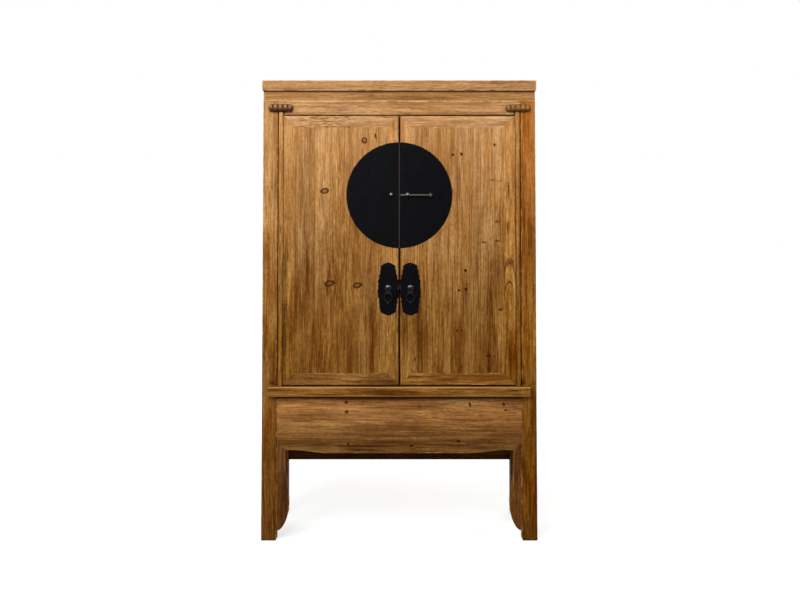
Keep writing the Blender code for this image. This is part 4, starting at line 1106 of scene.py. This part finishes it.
class WARDROBE_OT_doors(bpy.types.Operator):
    """Finishes the doors' stiles, rails, panels and battens"""

    bl_idname = "wardrobe.doors"
    bl_label = "Doors"

    def execute(self, context):
        wood = context.scene.wardrobe_wood
        stile = straight_box("right_hinge_stile")[1]
        # Painted shade in the crease beside each pivot post, on the stiles
        crease_shade = (stile[X] - 2 * BEAD_RADIUS, stile[Z], *BEAD_SHADE)
        flats = tuple(zip((-crease_shade[0], crease_shade[0]), STILE_TONES))
        stiles = pine("pine_stiles", UPRIGHT, (), STILE_STAINS, STILE_LOOPS, joints=flats, crease_shade=crease_shade)
        rails = pine("pine_door_rails", ACROSS, (), DOOR_RAIL_STAINS)
        marks = {"left": (LEFT_PANEL_KNOTS, ()), "right": (RIGHT_PANEL_KNOTS, RIGHT_PANEL_SCUFFS)}
        for side in SIDES:
            panel = pine(f"pine_{side}_panel", UPRIGHT, *marks[side], joints=PANEL_JOINTS[side])
            finishes = {("door_panel",): panel, DOOR_STILES: stiles, DOOR_RAILS: rails}
            for names, material in finishes.items():
                for name in names:
                    finish_node(f"{side}_{name}", material, wood.joint_radius, DOOR_WEAR)
        self.chip(NODES["left_door_top_rail"])
        return {"FINISHED"}

    def chip(self, rail):
        """Chips a rail, which is remeshed before its edges are rounded."""
        rail.data.materials[0] = pine("pine_chipped_rail", ACROSS, chipped=CHIPPED)
        fine = rail.modifiers.new("fine", "REMESH")
        fine.mode = "SHARP"
        fine.octree_depth = RAIL_FINENESS
        fine.scale = RAIL_FILL
        rail.modifiers.new("dents", "NODES").node_group = dented("dents", *CHIPPED)
        rail.modifiers.move(rail.modifiers.find("arris"), 2)


class WARDROBE_OT_fittings(bpy.types.Operator):
    """Finishes the iron plates, eyes, bosses, drops and lock pin"""

    bl_idname = "wardrobe.fittings"
    bl_label = "Iron fittings"

    def execute(self, context):
        iron = context.scene.wardrobe_iron
        black = lacquered_iron(iron)
        # The eyes and the bosses carry a painted highlight along their tops
        boss, eye = (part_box(f"left_{name}")[1].z for name in ("pull_boss", "bolt_eye"))
        handled_iron("eye_iron", iron.handled, iron.bright, eye, EYE_HIGHLIGHT_REACH)
        handled = handled_iron("boss_iron", iron.handled, iron.polished, boss, BOSS_HIGHLIGHT_REACH)
        dark = handled_iron("dark_iron", iron.drop)
        finishes = {"face_plate": black, "pull_plate": black, "pull_boss": handled, "pull_drop": dark}
        for side in SIDES:
            for name, material in finishes.items():
                finish_node(f"{side}_{name}", material, iron.edge)
            plate = f"{side}_pull_plate"
            shape = scalloped(f"{side}_scallops", middle_of(f"{side}_pull_boss").x, middle_of(plate).z)
            NODES[plate].modifiers.new("scallops", "NODES").node_group = shape
        finish_node("lock_pin", handled_iron("sliding_iron", iron.pin), iron.edge)
        return {"FINISHED"}


class WARDROBE_OT_eyes(bpy.types.Operator):
    """Turns the two bolt eyes that the lock pin slides through"""

    bl_idname = "wardrobe.eyes"
    bl_label = "Bolt eyes"

    def execute(self, context):
        iron = context.scene.wardrobe_iron
        material = bpy.data.materials["eye_iron"]
        for side in SIDES:
            name = f"{side}_bolt_eye"
            middle = middle_of(name)
            middle.y = middle_of("lock_pin").y
            bm = self.barrel(iron)
            self.shank(bm, iron.eye_edge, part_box(name)[1].y - middle.y)
            bmesh.ops.translate(bm, vec=middle, verts=bm.verts)
            piece = object_from(bm, f"{side}_turned_eye", material, f"{side}_door")
            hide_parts(name)
        return {"FINISHED"}

    def barrel(self, iron):
        """A swollen ring round X, from a closed outline turned once about."""
        bm = bmesh.new()
        half = iron.eye_width / 2
        outline = [bm.verts.new((end * half, 0, iron.eye_bore)) for end in (1, -1)]
        for step in range(EYE_STEPS + 1):
            angle = math.pi * step / EYE_STEPS
            radius = iron.eye_edge + iron.eye_swell * math.sin(angle)
            outline.append(bm.verts.new((-half * math.cos(angle), 0, radius)))
        edges = [bm.edges.new(pair) for pair in zip(outline, outline[1:] + outline[:1])]
        turn = {"axis": (1, 0, 0), "cent": (0, 0, 0), "angle": math.tau, "steps": EYE_TURNS}
        bmesh.ops.spin(bm, geom=outline + edges, use_merge=True, **turn)
        bmesh.ops.remove_doubles(bm, verts=bm.verts, dist=JOINED)
        return bm

    def shank(self, bm, start, end):
        """A rod along Y behind the ring."""
        place = Matrix.Translation((0, (start + end) / 2, 0)) @ Matrix.Rotation(math.pi / 2, 4, "X")
        size = {"radius1": EYE_SHANK, "radius2": EYE_SHANK, "depth": end - start}
        bmesh.ops.create_cone(bm, segments=16, cap_ends=True, matrix=place, **size)


class WARDROBE_OT_nails(bpy.types.Operator):
    """Makes the nail heads that hold the plates"""

    bl_idname = "wardrobe.nails"
    bl_label = "Nail heads"

    def execute(self, context):
        iron = context.scene.wardrobe_iron
        dark = bpy.data.materials["dark_iron"]
        size = Matrix.Diagonal((iron.nail_radius, iron.nail_radius, iron.nail_rise, 1))
        facing = Matrix.Rotation(math.pi / 2, 4, "X") @ size
        for side in SIDES:
            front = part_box(f"{side}_pull_plate")[0].y
            bm = bmesh.new()
            for x, z in self.places(side):
                self.head(bm, Matrix.Translation((x, front, z)) @ facing)
            object_from(bm, f"{side}_plate_nails", dark, f"{side}_door")
        return {"FINISHED"}

    def places(self, side):
        """Where the nails are, across and in height: round the face plate, and above and below the pull."""
        low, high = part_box(f"{side}_face_plate")
        ring = (high.z - low.z) / 2 - FACE_NAIL_INSET
        for angle in map(math.radians, FACE_NAIL_ANGLES):
            yield SIGNS[side] * ring * math.cos(angle), (low.z + high.z) / 2 + ring * math.sin(angle)
        low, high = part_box(f"{side}_pull_plate")
        for z in (high.z - PULL_NAIL_INSET, low.z + PULL_NAIL_INSET):
            yield middle_of(f"{side}_pull_boss").x, z

    def head(self, bm, matrix):
        """Adds one head: a ball cut off a little behind its middle, flattened and put in its place."""
        ball = bmesh.new()
        bmesh.ops.create_uvsphere(ball, u_segments=20, v_segments=10, radius=1)
        cut = {"plane_co": (0, 0, NAIL_CUT), "plane_no": (0, 0, 1), "clear_inner": True}
        bmesh.ops.bisect_plane(ball, geom=[*ball.verts, *ball.edges, *ball.faces], **cut)
        bmesh.ops.holes_fill(ball, edges=ball.edges)
        bmesh.ops.transform(ball, matrix=matrix, verts=ball.verts)
        mesh = bpy.data.meshes.new("nail_head")
        ball.to_mesh(mesh)
        ball.free()
        bm.from_mesh(mesh)
        bpy.data.meshes.remove(mesh)


class WARDROBE_OT_stage(bpy.types.Operator):
    """Sets the camera, the floor, the lamps and the sky"""

    bl_idname = "wardrobe.stage"
    bl_label = "Studio"

    def execute(self, context):
        scene = context.scene
        stage = scene.wardrobe_stage
        scene.view_settings.view_transform = "Standard"
        self.camera(scene, stage)
        self.floor(scene, stage)
        for name, (place, aim, size) in LAMPS.items():
            self.lamp(scene, name, place, aim, size, getattr(stage, name))
        self.sky(scene, stage)
        return {"FINISHED"}

    def camera(self, scene, stage):
        lens = bpy.data.cameras.new("camera")
        lens.lens = stage.lens
        lens.shift_x = LENS_SHIFT
        lens.shift_y = stage.rise
        camera = bpy.data.objects.new("camera", lens)
        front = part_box("front_left_post")[0].y
        camera.location = (0, front - stage.distance, stage.height)
        camera.rotation_euler = (math.pi / 2, 0, 0)
        scene.collection.objects.link(camera)
        scene.camera = camera

    def lamp(self, scene, name, place, aim, size, power):
        light = bpy.data.lights.new(name, "AREA")
        light.size = size
        light.energy = power
        lamp = bpy.data.objects.new(name, light)
        lamp.location = place
        lamp.rotation_euler = (Vector(aim) - Vector(place)).to_track_quat("-Z", "Y").to_euler()
        scene.collection.objects.link(lamp)

    def floor(self, scene, stage):
        bm = bmesh.new()
        bmesh.ops.create_grid(bm, x_segments=1, y_segments=1, size=stage.floor_size / 2)
        mesh = bpy.data.meshes.new("floor")
        bm.to_mesh(mesh)
        bm.free()
        material, tree, shader = blank("pale_floor")
        away = object_place(tree).length()
        glow = self.seen(tree) * away.ramp(*GLOW_REACH, stage.floor_glow, 1.0)
        fill(shader, {"Base Color": FLOOR_COLOUR, "Roughness": 0.9, "Specular IOR Level": 0.0})
        fill(shader, {"Emission Color": WHITE, "Emission Strength": glow})
        mesh.materials.append(material)
        floor = bpy.data.objects.new("floor", mesh)
        scene.collection.objects.link(floor)

    def seen(self, tree):
        """1 for what the camera sees, also in metal, and 0 for the light that falls on things."""
        path = add(tree, "ShaderNodeLightPath").outputs
        rays = ("Camera", "Glossy", "Transmission")
        camera, glossy, through = (Wire(path[f"Is {ray} Ray"]) for ray in rays)
        return camera.most(glossy).most(through)

    def sky(self, scene, stage):
        world = bpy.data.worlds.new("studio")
        world.use_nodes = True
        tree = world.node_tree
        strength = self.seen(tree) * (1 - stage.sky) + stage.sky
        fill(tree.nodes["Background"], {"Color": WHITE, "Strength": strength})
        scene.world = world


class WARDROBE_PT_panel(bpy.types.Panel):
    """Lists the wardrobe's pieces and their sizes and colours"""

    bl_idname = "WARDROBE_PT_panel"
    bl_label = "Wardrobe"
    bl_space_type = "VIEW_3D"
    bl_region_type = "UI"
    bl_category = "Wardrobe"

    def draw(self, context):
        for operator in OPERATORS:
            self.layout.operator(operator.bl_idname)
        for group in (getattr(context.scene, name) for name in GROUPS):
            box = self.layout.box()
            for name in group.__annotations__:
                box.prop(group, name)


GROUPS = {"wardrobe_wood": WardrobeWood, "wardrobe_iron": WardrobeIron, "wardrobe_stage": WardrobeStage}
OPERATORS = (
    WARDROBE_OT_patterns,
    WARDROBE_OT_case,
    WARDROBE_OT_blocks,
    WARDROBE_OT_doors,
    WARDROBE_OT_fittings,
    WARDROBE_OT_eyes,
    WARDROBE_OT_nails,
    WARDROBE_OT_stage,
)
CLASSES = (*GROUPS.values(), *OPERATORS, WARDROBE_PT_panel)


def register():
    for cls in CLASSES:
        bpy.utils.register_class(cls)
    for name, group in GROUPS.items():
        setattr(bpy.types.Scene, name, PointerProperty(type=group))


def unregister():
    for name in GROUPS:
        delattr(bpy.types.Scene, name)
    for cls in reversed(CLASSES):
        bpy.utils.unregister_class(cls)


def main():
    register()
    bpy.ops.wardrobe.patterns()
    bpy.ops.wardrobe.case()
    bpy.ops.wardrobe.blocks()
    bpy.ops.wardrobe.doors()
    bpy.ops.wardrobe.fittings()
    bpy.ops.wardrobe.eyes()
    bpy.ops.wardrobe.nails()
    bpy.ops.wardrobe.stage()


if __name__ == "__main__":
    main()
